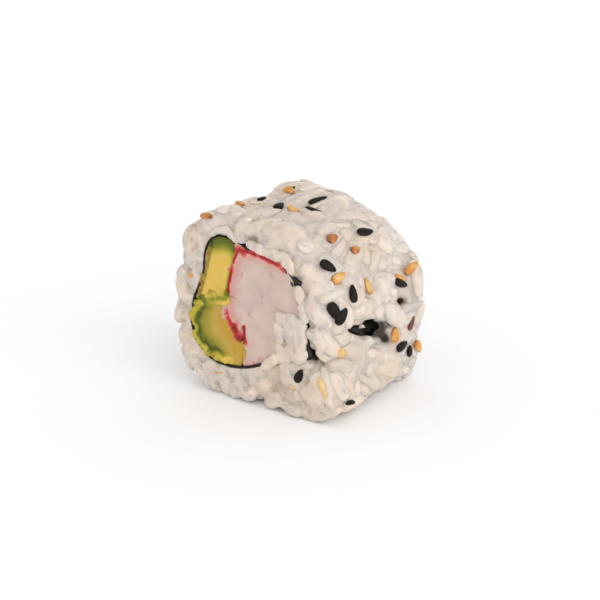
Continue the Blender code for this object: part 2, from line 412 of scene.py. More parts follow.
# Grains that stand out: middle, the way they point, then length, width and rise, in mm.
SHOWN_GRAINS = (
    ((19.4, 3.1, 17.4), (0.4, 0.6, -0.65), 7.6, 3.9, 1.0),
    ((18.3, -6.4, 20.6), (0.4, 0.9, 0.2), 7.6, 3.3, 0.8),
    ((17.9, -4.0, 17.8), (0.5, 0.8, 0.3), 4.0, 2.4, 0.0),
    ((17.0, -14.8, 7.4), (0.3, -0.1, -0.95), 8.6, 2.0, 0.7),
    ((14.2, -15.2, 6.3), (0.9, 0.3, 0.3), 5.8, 3.3, 0.4),
    ((4.4, -1.8, 35.4), (0.7, 0.7, 0.0), 5.2, 2.6, 0.6),
    ((2.5, 8.2, 36.6), (0.6, 0.8, 0.0), 6.5, 2.8, 0.6),
    ((18.4, 2.7, 6.2), (0.5, 0.8, -0.3), 8.4, 3.2, 0.4),
    ((14.8, -14.6, 21.5), (0.6, 0.2, -0.75), 7.2, 3.5, 0.6),
    ((18.0, -9.4, 13.5), (0.5, 0.75, -0.4), 7.0, 3.4, 0.6),
    ((18.9, 4.2, 12.8), (0.3, 0.5, -0.85), 4.6, 2.6, 0.4),
    ((18.2, -13.3, 7.9), (0.5, 0.1, -0.85), 6.6, 3.2, 0.5),
    ((16.0, -13.8, 16.0), (0.6, 0.3, -0.75), 7.0, 3.7, 0.5),
    ((19.0, 11.5, 22.5), (0.2, 0.1, -0.95), 7.4, 3.4, 1.0),
    ((-18.6, -14.6, 15.8), (0.1, 0.3, 0.95), 6.0, 3.2, 0.9),
    ((-18.2, -14.6, 21.6), (0.15, -0.1, 0.95), 6.6, 3.2, 0.8),
)


def hollow_room(points):
    """How far points lie outside the nearest hollow, and the way out of it."""
    room = np.full(len(points), np.inf)
    way = np.zeros_like(points)
    for start, end, radius in HOLLOWS:
        start = np.array(start) * MM
        run = np.array(end) * MM - start
        part = np.clip((points - start) @ run / (run @ run), 0, 1)
        off = points - start - part[:, None] * run
        ragged = radius * MM * (1 + HOLLOW_RAGGED * bumps(points, HOLLOW_LUMPS, 51))
        gap = np.linalg.norm(off, axis=1) - ragged
        closer = gap < room
        room[closer] = gap[closer]
        way[closer] = unit(off)[closer]
    return room, way


def scattered_on_form(count, depth, rng):
    """Random points spread evenly over the sides and cut ends of the rice."""
    tries = 6000
    low = np.array([-HALF_WIDTH, -HALF_LENGTH, 0.0]) - MM
    high = np.array([HALF_WIDTH, HALF_LENGTH, 2 * HALF_HEIGHT]) + MM
    found = np.empty((0, 3))
    while len(found) < count:
        tried = low + rng.random((tries, 3)) * (high - low)
        near = np.abs(press_distance(tried) + depth) < 0.4 * MM
        clear, _ = off_nori(tried)
        found = np.vstack([found, tried[near & (clear > 1.0 * MM)]])
    return found[:count]


def round_hollows(count, rng):
    """Random points close round the hollows, deeper than the grains that show elsewhere."""
    tries = 20000
    low = np.array([10.0, -16.0, 8.0]) * MM
    high = np.array([20.0, 14.0, 30.0]) * MM
    tried = low + rng.random((tries, 3)) * (high - low)
    room, _ = hollow_room(tried)
    clear, _ = off_nori(tried)
    deep = -press_distance(tried)
    next_to = (room > 0.7 * MM) & (room < 1.8 * MM)
    good = next_to & (clear > 1.2 * MM) & (deep > LINING_DEPTH)
    return tried[good][:count], deep[good][:count]


def pair_contacts(centres, axes, half, radius):
    """Pairs of grains that touch: indices, push direction, overlap, places along each."""
    between = centres[:, None, :] - centres[None, :, :]
    near = np.linalg.norm(between, axis=2) < half[:, None] + half[None, :] + 2 * radius.max()
    first, second = np.nonzero(np.triu(near, 1))
    gap = centres[first] - centres[second]
    a = axes[first]
    b = axes[second]
    lean = np.sum(a * b, axis=1)
    on_a = np.sum(a * gap, axis=1)
    on_b = np.sum(b * gap, axis=1)
    s = np.clip((lean * on_b - on_a) / (1.0001 - lean * lean), -half[first], half[first])
    t = np.clip(s * lean + on_b, -half[second], half[second])
    s = np.clip(t * lean - on_a, -half[first], half[first])
    apart = gap + a * s[:, None] - b * t[:, None]
    distance = np.linalg.norm(apart, axis=1)
    overlap = (radius[first] + radius[second]) * SQUEEZE - distance
    touching = overlap > 0
    push = apart[touching] / np.maximum(distance[touching], 1e-7)[:, None]
    return first[touching], second[touching], push, overlap[touching], s[touching], t[touching]


def settle(centres, axes, half, radius, depth, tilt, fixed):
    """Let grains push one another apart while each keeps its depth below the form."""
    for _ in range(SETTLE_ROUNDS):
        first, second, push, overlap, s, t = pair_contacts(centres, axes, half, radius)
        move = np.zeros_like(centres)
        turn = np.zeros_like(centres)
        share = push * overlap[:, None] * PUSH_SHARE
        inertia = half ** 2 + radius ** 2
        np.add.at(move, first, share)
        np.add.at(move, second, -share)
        np.add.at(turn, first, share * (s / inertia[first])[:, None])
        np.add.at(turn, second, -share * (t / inertia[second])[:, None])
        for sign in (-1, 1):
            tips = centres + sign * axes * half[:, None]
            clear, outward = off_nori(tips)
            short = np.clip(radius * 0.75 - clear, 0, None) * TIP_SHARE
            move += outward * short[:, None]
            turn += outward * (sign * short / half * 0.5)[:, None]
            room, way = hollow_room(tips)
            move += way * np.clip(radius * 0.8 - room, 0, None)[:, None] * HOLLOW_SHARE
        move[fixed] = 0
        turn[fixed] = 0
        length = np.linalg.norm(move, axis=1, keepdims=True)
        move *= np.minimum(1, LONGEST_MOVE / np.maximum(length, 1e-9))
        centres = centres + move
        axes = unit(axes + turn)
        loose = ~fixed
        centres[loose] = onto_form(centres[loose], depth[loose])
        normal = press_normal(centres)
        lift = np.sum(axes * normal, axis=1)
        axes[loose] = unit(axes - normal * (lift - tilt)[:, None])[loose]
    return centres, axes


# ---- Rice: the shape of a grain ---------------------------------------------------------

GRAIN_RINGS = 9
GRAIN_SIDES = 12

# How uneven a grain is: taper, bend and dents as shares of its width.
TAPER = 0.10
BEND = 0.16
DENT = 0.045

# How much of what stands out of the form the hands pressed in, and the knife at the cut ends.
HAND_SQUASH = 0.86
KNIFE_SQUASH = 0.95


def turned(profile, sides):
    """A closed shape turned about its length: vertices (along, across, up), and its faces."""
    points = [(-1.0, 0.0, 0.0)]
    for along, girth in profile:
        for side in range(sides):
            turn = 2 * math.pi * side / sides
            points.append((along, girth * math.cos(turn), girth * math.sin(turn)))
    points.append((1.0, 0.0, 0.0))
    last = len(points) - 1
    faces = []
    for side in range(sides):
        after = (side + 1) % sides
        faces.append((0, 1 + after, 1 + side))
        for ring in range(len(profile) - 1):
            here = 1 + ring * sides
            there = here + sides
            faces.append((here + side, here + after, there + after, there + side))
        top = 1 + (len(profile) - 1) * sides
        faces.append((top + side, top + after, last))
    return np.array(points), faces


def grain_template():
    """A plump grain of length, width and thickness 2."""
    profile = []
    for ring in range(GRAIN_RINGS):
        swing = math.pi * ((ring + 1) / (GRAIN_RINGS + 1) - 0.5)
        along = math.copysign(abs(math.sin(swing)) ** 0.92, swing)
        profile.append((along, math.cos(swing) ** 0.72))
    return turned(profile, GRAIN_SIDES)


def shape_grains(centres, axes, sizes, proud, rng):
    """Vertices of every grain: uneven, a little bent, and pressed flat against the form."""
    template, _ = grain_template()
    count = len(centres)
    normal = press_normal(centres)
    up = unit(normal - axes * np.sum(normal * axes, axis=1, keepdims=True))
    across = np.cross(up, axes)
    along = template[None, :, 0]
    side = template[None, :, 1]
    rise = template[None, :, 2]
    taper = 1 + rng.uniform(-TAPER, TAPER, (count, 1)) * along
    bend = rng.uniform(-BEND, BEND, (count, 1)) * (along ** 2 - 0.4)
    dent = np.ones((count, template.shape[0]))
    for _ in range(3):
        turns = rng.uniform(-2.6, 2.6, (count, 3))
        phase = rng.uniform(0, 2 * math.pi, (count, 1))
        wave = np.einsum("gk,vk->gv", turns, template) + phase
        dent += DENT * np.sin(wave)
    length = sizes[:, 0:1] * along * (0.98 + 0.02 * dent)
    breadth = sizes[:, 1:2] * (side * taper * dent + bend)
    height = sizes[:, 2:3] * rise * taper * dent
    points = (centres[:, None, :]
              + axes[:, None, :] * length[:, :, None]
              + across[:, None, :] * breadth[:, :, None]
              + up[:, None, :] * height[:, :, None])
    return press_in(points.reshape(-1, 3), np.repeat(proud, len(template)))


def press_in(points, allowed):
    """Squash what stands out of the form, and keep off the nori, the hollows and the table."""
    over = np.maximum(press_distance(points) - allowed, 0)
    normal = press_normal(points)
    squash = np.where(np.abs(normal[:, 1]) > 0.8, KNIFE_SQUASH, HAND_SQUASH)
    points = points - normal * (over * squash)[:, None]
    room, way = hollow_room(points)
    points = points + way * np.clip(-room - GRAIN_LEAN, 0, None)[:, None]
    clear, outward = off_nori(points)
    points = points + outward * np.clip(0.05 * MM - clear, 0, None)[:, None]
    points[:, 2] = np.maximum(points[:, 2], 0.02 * MM)
    return points


def joined_mesh(name, vertices, template, faces):
    """One mesh of many copies of a template, from the vertices of them all."""
    joined = []
    for start in range(0, len(vertices), len(template)):
        joined.extend(tuple(start + corner for corner in face) for face in faces)
    return mesh_of(name, vertices, joined)


def loose_grains(rice, rng):
    """Grains thrown on the form: middles, directions, half sizes, depths, tilts and rises."""
    surface = rice.surface_grains
    lining, lining_depth = round_hollows(LINING_GRAINS, rng)
    depth = np.concatenate([
        rng.uniform(*TOP_DEPTH, surface) * MM,
        rng.uniform(*UNDER_DEPTH, rice.under_grains) * MM,
        lining_depth])
    centres = np.vstack([
        scattered_on_form(surface, 1.2 * MM, rng),
        scattered_on_form(rice.under_grains, 2.8 * MM, rng),
        lining])
    total = len(centres)
    normal = press_normal(centres)
    on_end = np.abs(normal[:, 1]) > 0.7
    # Rolling left the grains a little more along the roll than across it.
    axes = rng.normal(size=(total, 3)) * np.array([1.0, 1.4, 1.0])
    axes = unit(axes - normal * np.sum(axes * normal, axis=1, keepdims=True))
    broken = rng.random(total) < BROKEN_SHARE
    sizes = np.empty((total, 3))
    sizes[:, 0] = rice.grain_length / 2 * rng.uniform(*GRAIN_SPREAD, total)
    sizes[broken, 0] *= rng.uniform(*BROKEN_LEFT, broken.sum())
    sizes[:, 1] = rice.grain_width / 2 * rng.uniform(*GRAIN_SPREAD, total)
    sizes[:, 2] = sizes[:, 1] * rng.uniform(*GRAIN_FLATNESS, total)
    # On the sides grains lie nearly flat; the knife cut across those at the ends at any angle.
    tilt = np.clip(rng.normal(size=total) * SIDE_TILT, -MOST_TILT, MOST_TILT)
    tilt[surface:] *= UNDER_TILT
    tilt[on_end] = rng.uniform(-CUT_TILT, CUT_TILT, on_end.sum())
    proud = rng.uniform(*SIDE_RISE, total) * MM
    proud[rng.random(total) < HIGHER_SHARE] += HIGHER
    proud[on_end] = rng.uniform(*CUT_RISE, on_end.sum()) * MM
    return centres, axes, sizes, depth, tilt, proud


def shown_grains():
    """The grains of SHOWN_GRAINS, laid out like the loose ones."""
    rows = np.array([[*middle, *way, *size] for middle, way, *size in SHOWN_GRAINS])
    level = np.zeros(len(rows))
    halves = rows[:, [6, 7, 7]] * np.array([0.5, 0.5, 0.42]) * MM
    return rows[:, 0:3] * MM, unit(rows[:, 3:6]), halves, level, level, rows[:, 8] * MM


class URAMAKI_OT_rice_grains(bpy.types.Operator):
    """Pack the boiled grains over the sides and cut ends and press them together"""

    bl_idname = "uramaki.rice_grains"
    bl_label = "Rice grains"

    def execute(self, context):
        rice = context.scene.uramaki_rice
        rng = np.random.default_rng(GRAIN_DRAW)
        centres, axes, sizes, depth, tilt, proud = (
            np.concatenate(pair) for pair in zip(shown_grains(), loose_grains(rice, rng)))
        fixed = np.arange(len(sizes)) < len(SHOWN_GRAINS)
        half = np.maximum(sizes[:, 0] - sizes[:, 1], 0.3 * MM)
        centres, axes = settle(centres, axes, half, sizes[:, 1], depth, tilt, fixed)
        room, _ = hollow_room(centres)
        kept = fixed | (room > 0.3 * MM)
        vertices = shape_grains(centres[kept], axes[kept], sizes[kept], proud[kept], rng)
        template, faces = grain_template()
        mesh = joined_mesh("rice_grains", vertices, template, faces)
        piece = new_piece(mesh, rice_material(rice.colour))
        set_attribute(piece, "tone", np.repeat(rng.random(kept.sum()), len(template)))
        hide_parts("rice")
        return {"FINISHED"}


# How finely the mash is melted, and how many rounds smooth it.
CORE_VOXEL = 0.37 * MM
CORE_ROUNDS = 3

# How far the mash is raised or sunk: everywhere, by lumps, and where it is mashed, in mm.
CORE_SUNK = -0.17
CORE_LUMPS = 0.05
CORE_MASHED = 0.36


class URAMAKI_OT_rice_core(bpy.types.Operator):
    """Fill under and between the grains with the sticky mash that holds them together"""

    bl_idname = "uramaki.rice_core"
    bl_label = "Rice core"

    def execute(self, context):
        grains = bpy.data.objects.get("rice_grains")
        if grains is None:
            raise RuntimeError("the rice core needs the rice grains")
        heap = bmesh.new()
        heap.from_mesh(inner_ring())
        heap.from_mesh(grains.data)
        points, faces = melted(mesh_from(heap, "rice_heap"), CORE_VOXEL)
        points = evened(points, edges_of(faces), CORE_ROUNDS)
        normal = outward_of(points, faces)
        swell = CORE_SUNK + CORE_LUMPS * bumps(points, 1.6 * MM, 5) + CORE_MASHED * mashed(points)
        points = points + normal * (swell * MM)[:, None]
        points = pitted_rice(points, normal)
        points = over_nori(points)
        room, way = hollow_room(points)
        points = points + way * np.clip(-room - MASH_LEAN, 0, MASH_SHIFT)[:, None]
        points[:, 2] = np.maximum(points[:, 2], 0.03 * MM)
        material = rice_material(context.scene.uramaki_rice.colour)
        piece = new_piece(mesh_of("rice_core", points, faces), material)
        set_attribute(piece, "tone", mash_tone(points))
        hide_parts("rice")
        return {"FINISHED"}


def mash_tone(points):
    """How pale the mash is at each point: clouds round the middle tone of the grains."""
    return 0.5 + 0.25 * bumps(points, 4.0 * MM, 6)


# Places where fingers and knife mashed the grains smooth: middle and spread, in mm.
MASHED = (
    ((7.0, -13.0, 35.0), 5.0),
    ((12.5, -13.5, 27.0), 4.5),
    ((17.5, -8.0, 28.0), 4.5),
    ((19.0, 3.0, 7.0), 5.0),
    ((14.0, -15.0, 4.5), 4.0),
)


def mashed(points):
    """How far grains are mashed together: 0 where each stands alone, 1 where none does."""
    total = np.clip(0.34 + 0.5 * bumps(points, 9 * MM, 41), 0, 0.9)
    for middle, spread in MASHED:
        total = np.maximum(total, close_to(points, middle, spread))
    cut = blend_between(np.abs(points[:, 1]), HALF_LENGTH - 1.2 * MM, HALF_LENGTH - 0.4 * MM)
    return np.maximum(total, 0.85 * cut)


# Small holes at the two cut ends together.
PITS = 150


def pitted_rice(points, normal):
    """Small holes where the knife pulled mash out of the cut ends."""
    rng = np.random.default_rng(PIT_DRAW)
    spots = scattered_on_form(900, 0.1 * MM, rng)
    spots = spots[np.abs(spots[:, 1]) > HALF_LENGTH - 0.5 * MM][:PITS]
    on_cut = np.abs(normal[:, 1]) > 0.6
    depth = np.zeros(len(points))
    for spot, width in zip(spots, rng.uniform(0.25, 0.55, len(spots)) * MM):
        away = np.linalg.norm(points - spot, axis=1)
        depth = np.maximum(depth, 1.3 * width * np.exp(-(away / width) ** 2))
    return points - normal * (depth * on_cut)[:, None]


# Where rice was dragged in over the nori's edge: (x, z), spread and how far, in mm.
LIPS = (
    ((-5.8, 33.2), 2.8, 0.6),
    ((2.4, 31.6), 2.8, 0.8),
    ((6.8, 30.7), 2.4, 0.8),
    ((9.9, 28.2), 1.9, 0.8),
    ((11.6, 23.6), 2.9, 1.0),
    ((13.1, 18.0), 2.4, 1.2),
    ((8.5, 10.4), 2.4, 0.8),
)


def dragged_over(points):
    """How far the rice reaches in over the nori's edge, in mm."""
    lip = np.zeros(len(points))
    for place, spread, reach in LIPS:
        lip = np.maximum(lip, reach * close_to(points[:, [0, 2]], place, spread))
    room, _ = hollow_room(points)
    return lip * blend_between(room, 0, 0.6 * MM)


def over_nori(points):
    """Bring the rice up to the nori, and in places over the nori's edge."""
    clear, outward = off_nori(points)
    near = np.clip(1 - clear / (1.6 * MM), 0, 1)
    at_end = blend_between(np.abs(points[:, 1]), HALF_LENGTH - 0.45 * MM, HALF_LENGTH - 0.2 * MM)
    ragged = 1 + 0.25 * bumps(points, 2.5 * MM, 52)
    lip = dragged_over(points) * ragged * MM * at_end * near
    aim = np.maximum(np.where(clear < 1.0 * MM, clear * 0.12 + 0.03 * MM, clear), 0.03 * MM)
    return points + outward * (aim - clear - lip)[:, None]


def inner_ring():
    """The rice solid with its outer skin sunk under the grains, open at the hollows."""
    shape = bmesh.new()
    shape.from_mesh(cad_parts["rice"].data)
    bmesh.ops.remove_doubles(shape, verts=shape.verts, dist=0.001 * MM)
    bmesh.ops.subdivide_edges(shape, edges=shape.edges, cuts=2, use_grid_fill=True)
    mesh = mesh_from(shape, "inner_ring")
    points = core_points(np.array([v.co for v in mesh.vertices]))
    mesh.vertices.foreach_set("co", points.ravel())
    return mesh


def core_points(points):
    """Sink the solid's outer skin to just under the grains, and open it at the hollows."""
    skin = press_distance(points) > -3.0 * MM
    clear, _ = off_nori(points)
    depth = 0.35 + 0.9 * blend_between(clear, 0.8 * MM, 2.8 * MM)
    depth = (depth + 0.25 * bumps(points, 2.6 * MM, 7)) * MM
    moved = points.copy()
    moved[skin] = onto_form(points[skin], depth[skin])
    clear, outward = off_nori(moved)
    inside = clear < 1.7 * MM
    moved[inside] += outward[inside] * (0.10 * MM - clear[inside])[:, None]
    clear, outward = off_nori(moved)
    room = np.min([hollow_room(moved - outward * (clear * part)[:, None])[0]
                   for part in (0, 0.25, 0.5, 0.75, 1)], axis=0)
    sunk = room < 0.2 * MM
    moved[sunk] -= outward[sunk] * (clear[sunk] - 0.3 * MM)[:, None]
    moved[:, 2] = np.maximum(moved[:, 2], 0.05 * MM)
    return moved


# Grains dragged over the nori and the crab stick by the knife: (x, z), the way they point,
# length and width, in mm.
SMEARED = (
    ((7.4, 19.2), (0.75, -0.65), 3.2, 2.0),
    ((10.2, 19.0), (0.95, -0.3), 5.2, 2.8),
    ((6.5, 16.4), (0.25, -1.0), 4.4, 1.9),
    ((9.2, 16.6), (0.3, -1.0), 5.6, 3.2),
    ((11.4, 16.4), (0.1, -1.0), 6.0, 3.0),
    ((6.6, 13.0), (0.55, -0.8), 3.6, 2.3),
    ((9.0, 13.2), (0.3, 0.95), 5.4, 3.2),
    ((11.2, 12.4), (0.7, 0.7), 4.6, 3.0),
    ((7.2, 11.4), (0.9, 0.4), 4.8, 2.6),
    ((4.6, 10.1), (0.75, 0.65), 5.2, 2.0),
    ((-8.9, 33.1), (0.8, 0.5), 3.2, 1.5),
    ((-7.0, 33.9), (1.0, 0.1), 4.0, 1.6),
    ((-4.4, 32.9), (0.9, -0.4), 3.4, 1.7),
    ((0.4, 31.9), (1.0, -0.15), 3.2, 1.7),
    ((2.4, 31.7), (1.0, -0.1), 4.0, 2.0),
    ((5.0, 31.2), (1.0, -0.25), 4.6, 2.2),
    ((7.9, 30.3), (0.75, -0.65), 3.8, 2.2),
    ((9.1, 29.0), (0.5, -0.85), 2.2, 1.7),
    ((11.4, 24.4), (0.35, -0.95), 3.6, 1.8),
    ((12.3, 21.4), (0.25, -0.95), 4.0, 1.8),
)

# Patches of smear down to this share of the largest are kept; smaller crumbs are dropped.
SMEAR_LEAST = 0.03

# Half the depth of a smeared grain, and how many rounds smooth the smear.
SMEAR_HALF_DEPTH = 0.75 * MM
SMEAR_ROUNDS = 3


class URAMAKI_OT_rice_smear(bpy.types.Operator):
    """Smear grains over the crab stick and over the nori's edge, as the knife left them"""

    bl_idname = "uramaki.rice_smear"
    bl_label = "Smeared rice"

    def execute(self, context):
        rng = np.random.default_rng(SMEAR_DRAW)
        template, faces = grain_template()
        grains = []
        for (x, z), (run, rise), length, width in SMEARED:
            along = unit(np.array([run, 0.0, rise]))
            across = np.array([along[2], 0.0, -along[0]])
            middle = np.array([x * MM, -HALF_LENGTH + rng.uniform(0.0, 0.7) * MM, z * MM])
            tip = along * np.array([1, 0, 1]) + np.array([0, rng.uniform(-0.12, 0.12), 0])
            grains.append(
                middle + template[:, 0:1] * tip * length / 2 * MM
                + template[:, 1:2] * across * width / 2 * MM
                + template[:, 2:3] * np.array([0, 1, 0]) * SMEAR_HALF_DEPTH)
        mesh = joined_mesh("smear_heap", np.vstack(grains), template, faces)
        points, faces = melted(mesh, FILLING_VOXEL, SMEAR_LEAST)
        points = evened(points, edges_of(faces), SMEAR_ROUNDS)
        normal = outward_of(points, faces)
        rough = 0.15 + bumps(points, 2.2 * MM, 44) * 0.12 + bumps(points, 1.0 * MM, 45) * 0.05
        points = points + normal * (rough * MM)[:, None]
        material = rice_material(context.scene.uramaki_rice.colour)
        piece = new_piece(mesh_of("rice_smear", points, faces), material)
        set_attribute(piece, "tone", mash_tone(points))
        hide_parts("rice")
        return {"FINISHED"}


# ---- Sesame -----------------------------------------------------------------------------

# Seeds one by one: place in mm, turn from level in degrees, length and width as shares of the
# usual, how dark the toast is or BLACK, and how far it is sunk, in mm.
BLACK = -1.0
SHOWN_SEEDS = (
    ((-10.9, -15.2, 35.7), 2, 1.15, 0.8, 0.9, 0.0),
    ((-10.9, -5.4, 36.0), -15, 0.85, 0.9, 0.7, 0.0),
    ((-6.5, 4.6, 37.6), -20, 1.0, 1.1, 0.6, 0.0),
    ((-0.1, -2.7, 36.4), 12, 0.8, 0.9, 0.3, 0.1),
    ((12.0, -6.4, 33.4), 16, 0.9, 1.1, 0.95, 0.0),
    ((14.6, -2.8, 30.7), 4, 0.7, 1.0, 0.85, 0.1),
    ((16.7, -10.6, 27.8), 17, 1.0, 1.1, 0.4, 0.0),
    ((18.7, -2.7, 24.5), 84, 1.05, 1.25, 0.3, -0.1),
    ((18.5, 10.2, 24.6), 30, 1.1, 1.05, 0.6, 0.0),
    ((19.6, 3.4, 13.3), 93, 1.0, 1.1, 0.5, 0.0),
    ((18.1, 14.3, 7.3), -50, 1.1, 1.2, 0.45, 0.0),
    ((18.3, -12.2, 13.9), -28, 0.95, 1.1, 0.1, 0.1),
    ((9.3, -15.7, 5.9), 14, 0.85, 0.9, 0.0, 0.4),
    ((-8.7, -15.7, 4.7), 9, 0.7, 0.5, 0.4, 0.3),
    ((16.5, -15.5, 7.6), -65, 1.4, 0.7, 0.0, 0.1),
    ((-15.1, -15.7, 23.4), 20, 0.4, 0.6, 0.5, 0.2),
    ((19.5, 9.9, 13.8), 50, 1.0, 0.9, 1.4, 0.0),
    ((18.9, 7.0, 23.6), -20, 1.2, 1.0, 0.35, 0.0),
    ((-9.6, -0.3, 36.5), 92, 0.8, 0.8, BLACK, 0.0),
    ((-4.1, -2.0, 36.6), 100, 0.95, 1.2, BLACK, 0.0),
    ((0.9, 4.0, 37.2), 60, 1.3, 1.1, BLACK, 0.0),
    ((3.0, 0.2, 36.4), 3, 1.4, 0.75, BLACK, -0.6),
    ((-7.2, 5.6, 38.0), 30, 0.7, 0.7, BLACK, 0.0),
    ((13.3, 1.9, 32.7), -16, 1.25, 1.1, BLACK, 0.0),
    ((14.7, -11.7, 29.6), -43, 1.1, 1.1, BLACK, 0.0),
    ((18.4, -9.2, 24.5), 71, 1.15, 1.0, BLACK, 0.0),
    ((18.6, 6.6, 22.6), -27, 1.25, 1.1, BLACK, 0.0),
    ((17.5, -13.4, 22.0), -62, 1.25, 1.3, BLACK, 0.0),
    ((18.3, -12.1, 20.9), 53, 1.15, 1.2, BLACK, 0.0),
    ((19.3, 6.1, 10.3), 12, 1.0, 1.2, BLACK, 0.0),
    ((19.1, 9.4, 8.2), 122, 0.95, 1.2, BLACK, 0.0),
    ((19.9, -11.8, 4.5), -12, 0.7, 0.9, BLACK, 0.1),
    ((11.2, -15.7, 8.8), 64, 1.0, 1.0, BLACK, 0.1),
)

SEED_RINGS = 9
SEED_SIDES = 10

# Thickness of a seed to its width, and its bend and dents as shares of its width.
SEED_FLATNESS = (0.48, 0.60)
SEED_BEND = 0.12
SEED_DENT = 0.06

# Among the strewn seeds: the share of black ones, and how far apart they are, in mm.
BLACK_SHARE = 0.45
SEED_ROOM = 4.0

# A seed is felt for from inside the roll, at its middle and this share of the way to its edge.
FEEL_FROM = 2.5 * MM
FEEL_SHARE = 0.7


def seed_template():
    """A flat seed of length, width and thickness 2 with one blunt and one pointed end."""
    profile = []
    for ring in range(SEED_RINGS):
        swing = math.pi * ((ring + 1) / (SEED_RINGS + 1) - 0.5)
        along = math.sin(swing)
        profile.append((along, math.cos(swing) ** 0.85 * (1 - 0.30 * along) / 1.04))
    return turned(profile, SEED_SIDES)


def hidden_seeds(count, rng):
    """Rows like the shown ones for seeds strewn over the left side."""
    spots = scattered_on_form(2000, 0, rng)
    normal = press_normal(spots)
    left = (spots[:, 0] < -13.5 * MM) & (normal[:, 0] < -0.55)
    level = (normal[:, 2] > -0.6) & (normal[:, 2] < 0.35)
    far = (spots[:, 1] > -12 * MM) & (normal[:, 1] < 0.75)
    rows = []
    for spot in spots[left & level & far]:
        free = all(np.linalg.norm(spot / MM - np.array(row[0])) > SEED_ROOM for row in rows)
        if free and len(rows) < count:
            toast = BLACK if rng.random() < BLACK_SHARE else rng.uniform(0.2, 1.0)
            length, width = rng.uniform(0.85, 1.15, 2)
            rows.append((tuple(spot / MM), rng.uniform(-90, 90), length, width, toast, 0.0))
    return rows


def touch(rice, place, out):
    """Where a straight line into the roll first meets the rice."""
    for skin in rice:
        spot = skin.ray_cast(Vector(place + out * 5 * MM), Vector(-out), 9 * MM)[0]
        if spot is not None:
            place = max(place, np.array(spot), key=lambda point: point @ out)
    return place


def lay_seed(rice, place, turn, half, girth):
    """The middle of a seed laid on the rice, and its length, width and up directions."""
    out = press_normal(place[None])[0]
    upright = np.array([0.0, 1.0, 0.0]) if abs(out[2]) > 0.8 else np.array([0.0, 0.0, 1.0])
    level = unit(np.cross(upright, out))
    steep = np.cross(out, level)
    way = level * math.cos(turn) + steep * math.sin(turn)
    side = np.cross(out, way)
    start = place - out * FEEL_FROM
    front = touch(rice, start + way * half * FEEL_SHARE, out)
    back = touch(rice, start - way * half * FEEL_SHARE, out)
    near = touch(rice, start + side * girth * FEEL_SHARE, out)
    far = touch(rice, start - side * girth * FEEL_SHARE, out)
    along = front - back
    along = unit(along - out * (along @ out) * 0.3)
    up = unit(np.cross(along, near - far))
    up = unit(up * math.copysign(1.0, up @ out) + out * 0.6)
    up = unit(up - along * (up @ along))
    middle = touch(rice, start, out)
    high = (middle * 2 + front + back + near + far) / 6
    middle = middle + out * max((high - middle) @ out, 0)
    return middle, along, np.cross(up, along), up


class URAMAKI_OT_sesame(bpy.types.Operator):
    """Press black and toasted sesame seeds into the rice"""

    bl_idname = "uramaki.sesame"
    bl_label = "Sesame seeds"

    def execute(self, context):
        seeds = context.scene.uramaki_seeds
        rng = np.random.default_rng(SESAME_DRAW)
        names = [name for name in ("rice_grains", "rice_core", "rice_smear")
                 if name in bpy.data.objects]
        if not names:
            raise RuntimeError("the sesame seeds need the rice to lie on")
        graph = context.evaluated_depsgraph_get()
        rice = [BVHTree.FromObject(bpy.data.objects[name], graph) for name in names]
        template, faces = seed_template()
        black = []
        toasted = []
        toast_of = []
        rows = (*SHOWN_SEEDS, *hidden_seeds(seeds.hidden_count, rng))
        for place, turn, length, width, toast, sunk in rows:
            half = seeds.length / 2 * length
            girth = seeds.width / 2 * width
            middle, along, side, up = lay_seed(
                rice, np.array(place) * MM, math.radians(turn), half, girth)
            thick = girth * rng.uniform(*SEED_FLATNESS)
            bend = rng.uniform(-SEED_BEND, SEED_BEND) * (template[:, 0] ** 2 - 0.4)
            wave = np.sin(template @ rng.uniform(-3, 3, 3) + rng.uniform(0, 6))
            dent = 1 + SEED_DENT * wave
            body = (middle + up * (thick * 0.45 - sunk * MM)
                    + along * (template[:, 0] * half)[:, None]
                    + side * ((template[:, 1] * dent + bend) * girth)[:, None]
                    + up * (template[:, 2] * dent * thick)[:, None])
            body[:, 2] = np.maximum(body[:, 2], 0.02 * MM)
            if toast == BLACK:
                black.append(body)
            else:
                toasted.append(body)
                toast_of.append(toast + 0.35 * np.abs(template[:, 0]) ** 3)
        for name, bodies, material in (
                ("sesame_black", black, black_sesame_material()),
                ("sesame_toasted", toasted, toasted_sesame_material())):
            mesh = joined_mesh(name, np.vstack(bodies), template, faces)
            piece = new_piece(mesh, material)
            if bodies is toasted:
                set_attribute(piece, "toast", np.concatenate(toast_of))
        return {"FINISHED"}


# ---- Meshes as arrays -------------------------------------------------------------------

def melted(mesh, voxel, least=1.0):
    """Melt overlapping closed shapes; gives vertices and quads, least as in big_islands."""
    guide = bpy.data.objects.new("melting", mesh)
    bpy.context.scene.collection.objects.link(guide)
    melt = guide.modifiers.new("melt", "REMESH")
    melt.mode = "VOXEL"
    melt.voxel_size = voxel
    graph = bpy.context.evaluated_depsgraph_get()
    skin = bpy.data.meshes.new_from_object(guide.evaluated_get(graph))
    bpy.data.objects.remove(guide)
    bpy.data.meshes.remove(mesh)
    points = np.empty(len(skin.vertices) * 3)
    skin.vertices.foreach_get("co", points)
    corners = np.empty(len(skin.loops), dtype=np.int64)
    skin.loops.foreach_get("vertex_index", corners)
    bpy.data.meshes.remove(skin)
    return big_islands(points.reshape(-1, 3), corners.reshape(-1, 4), least)


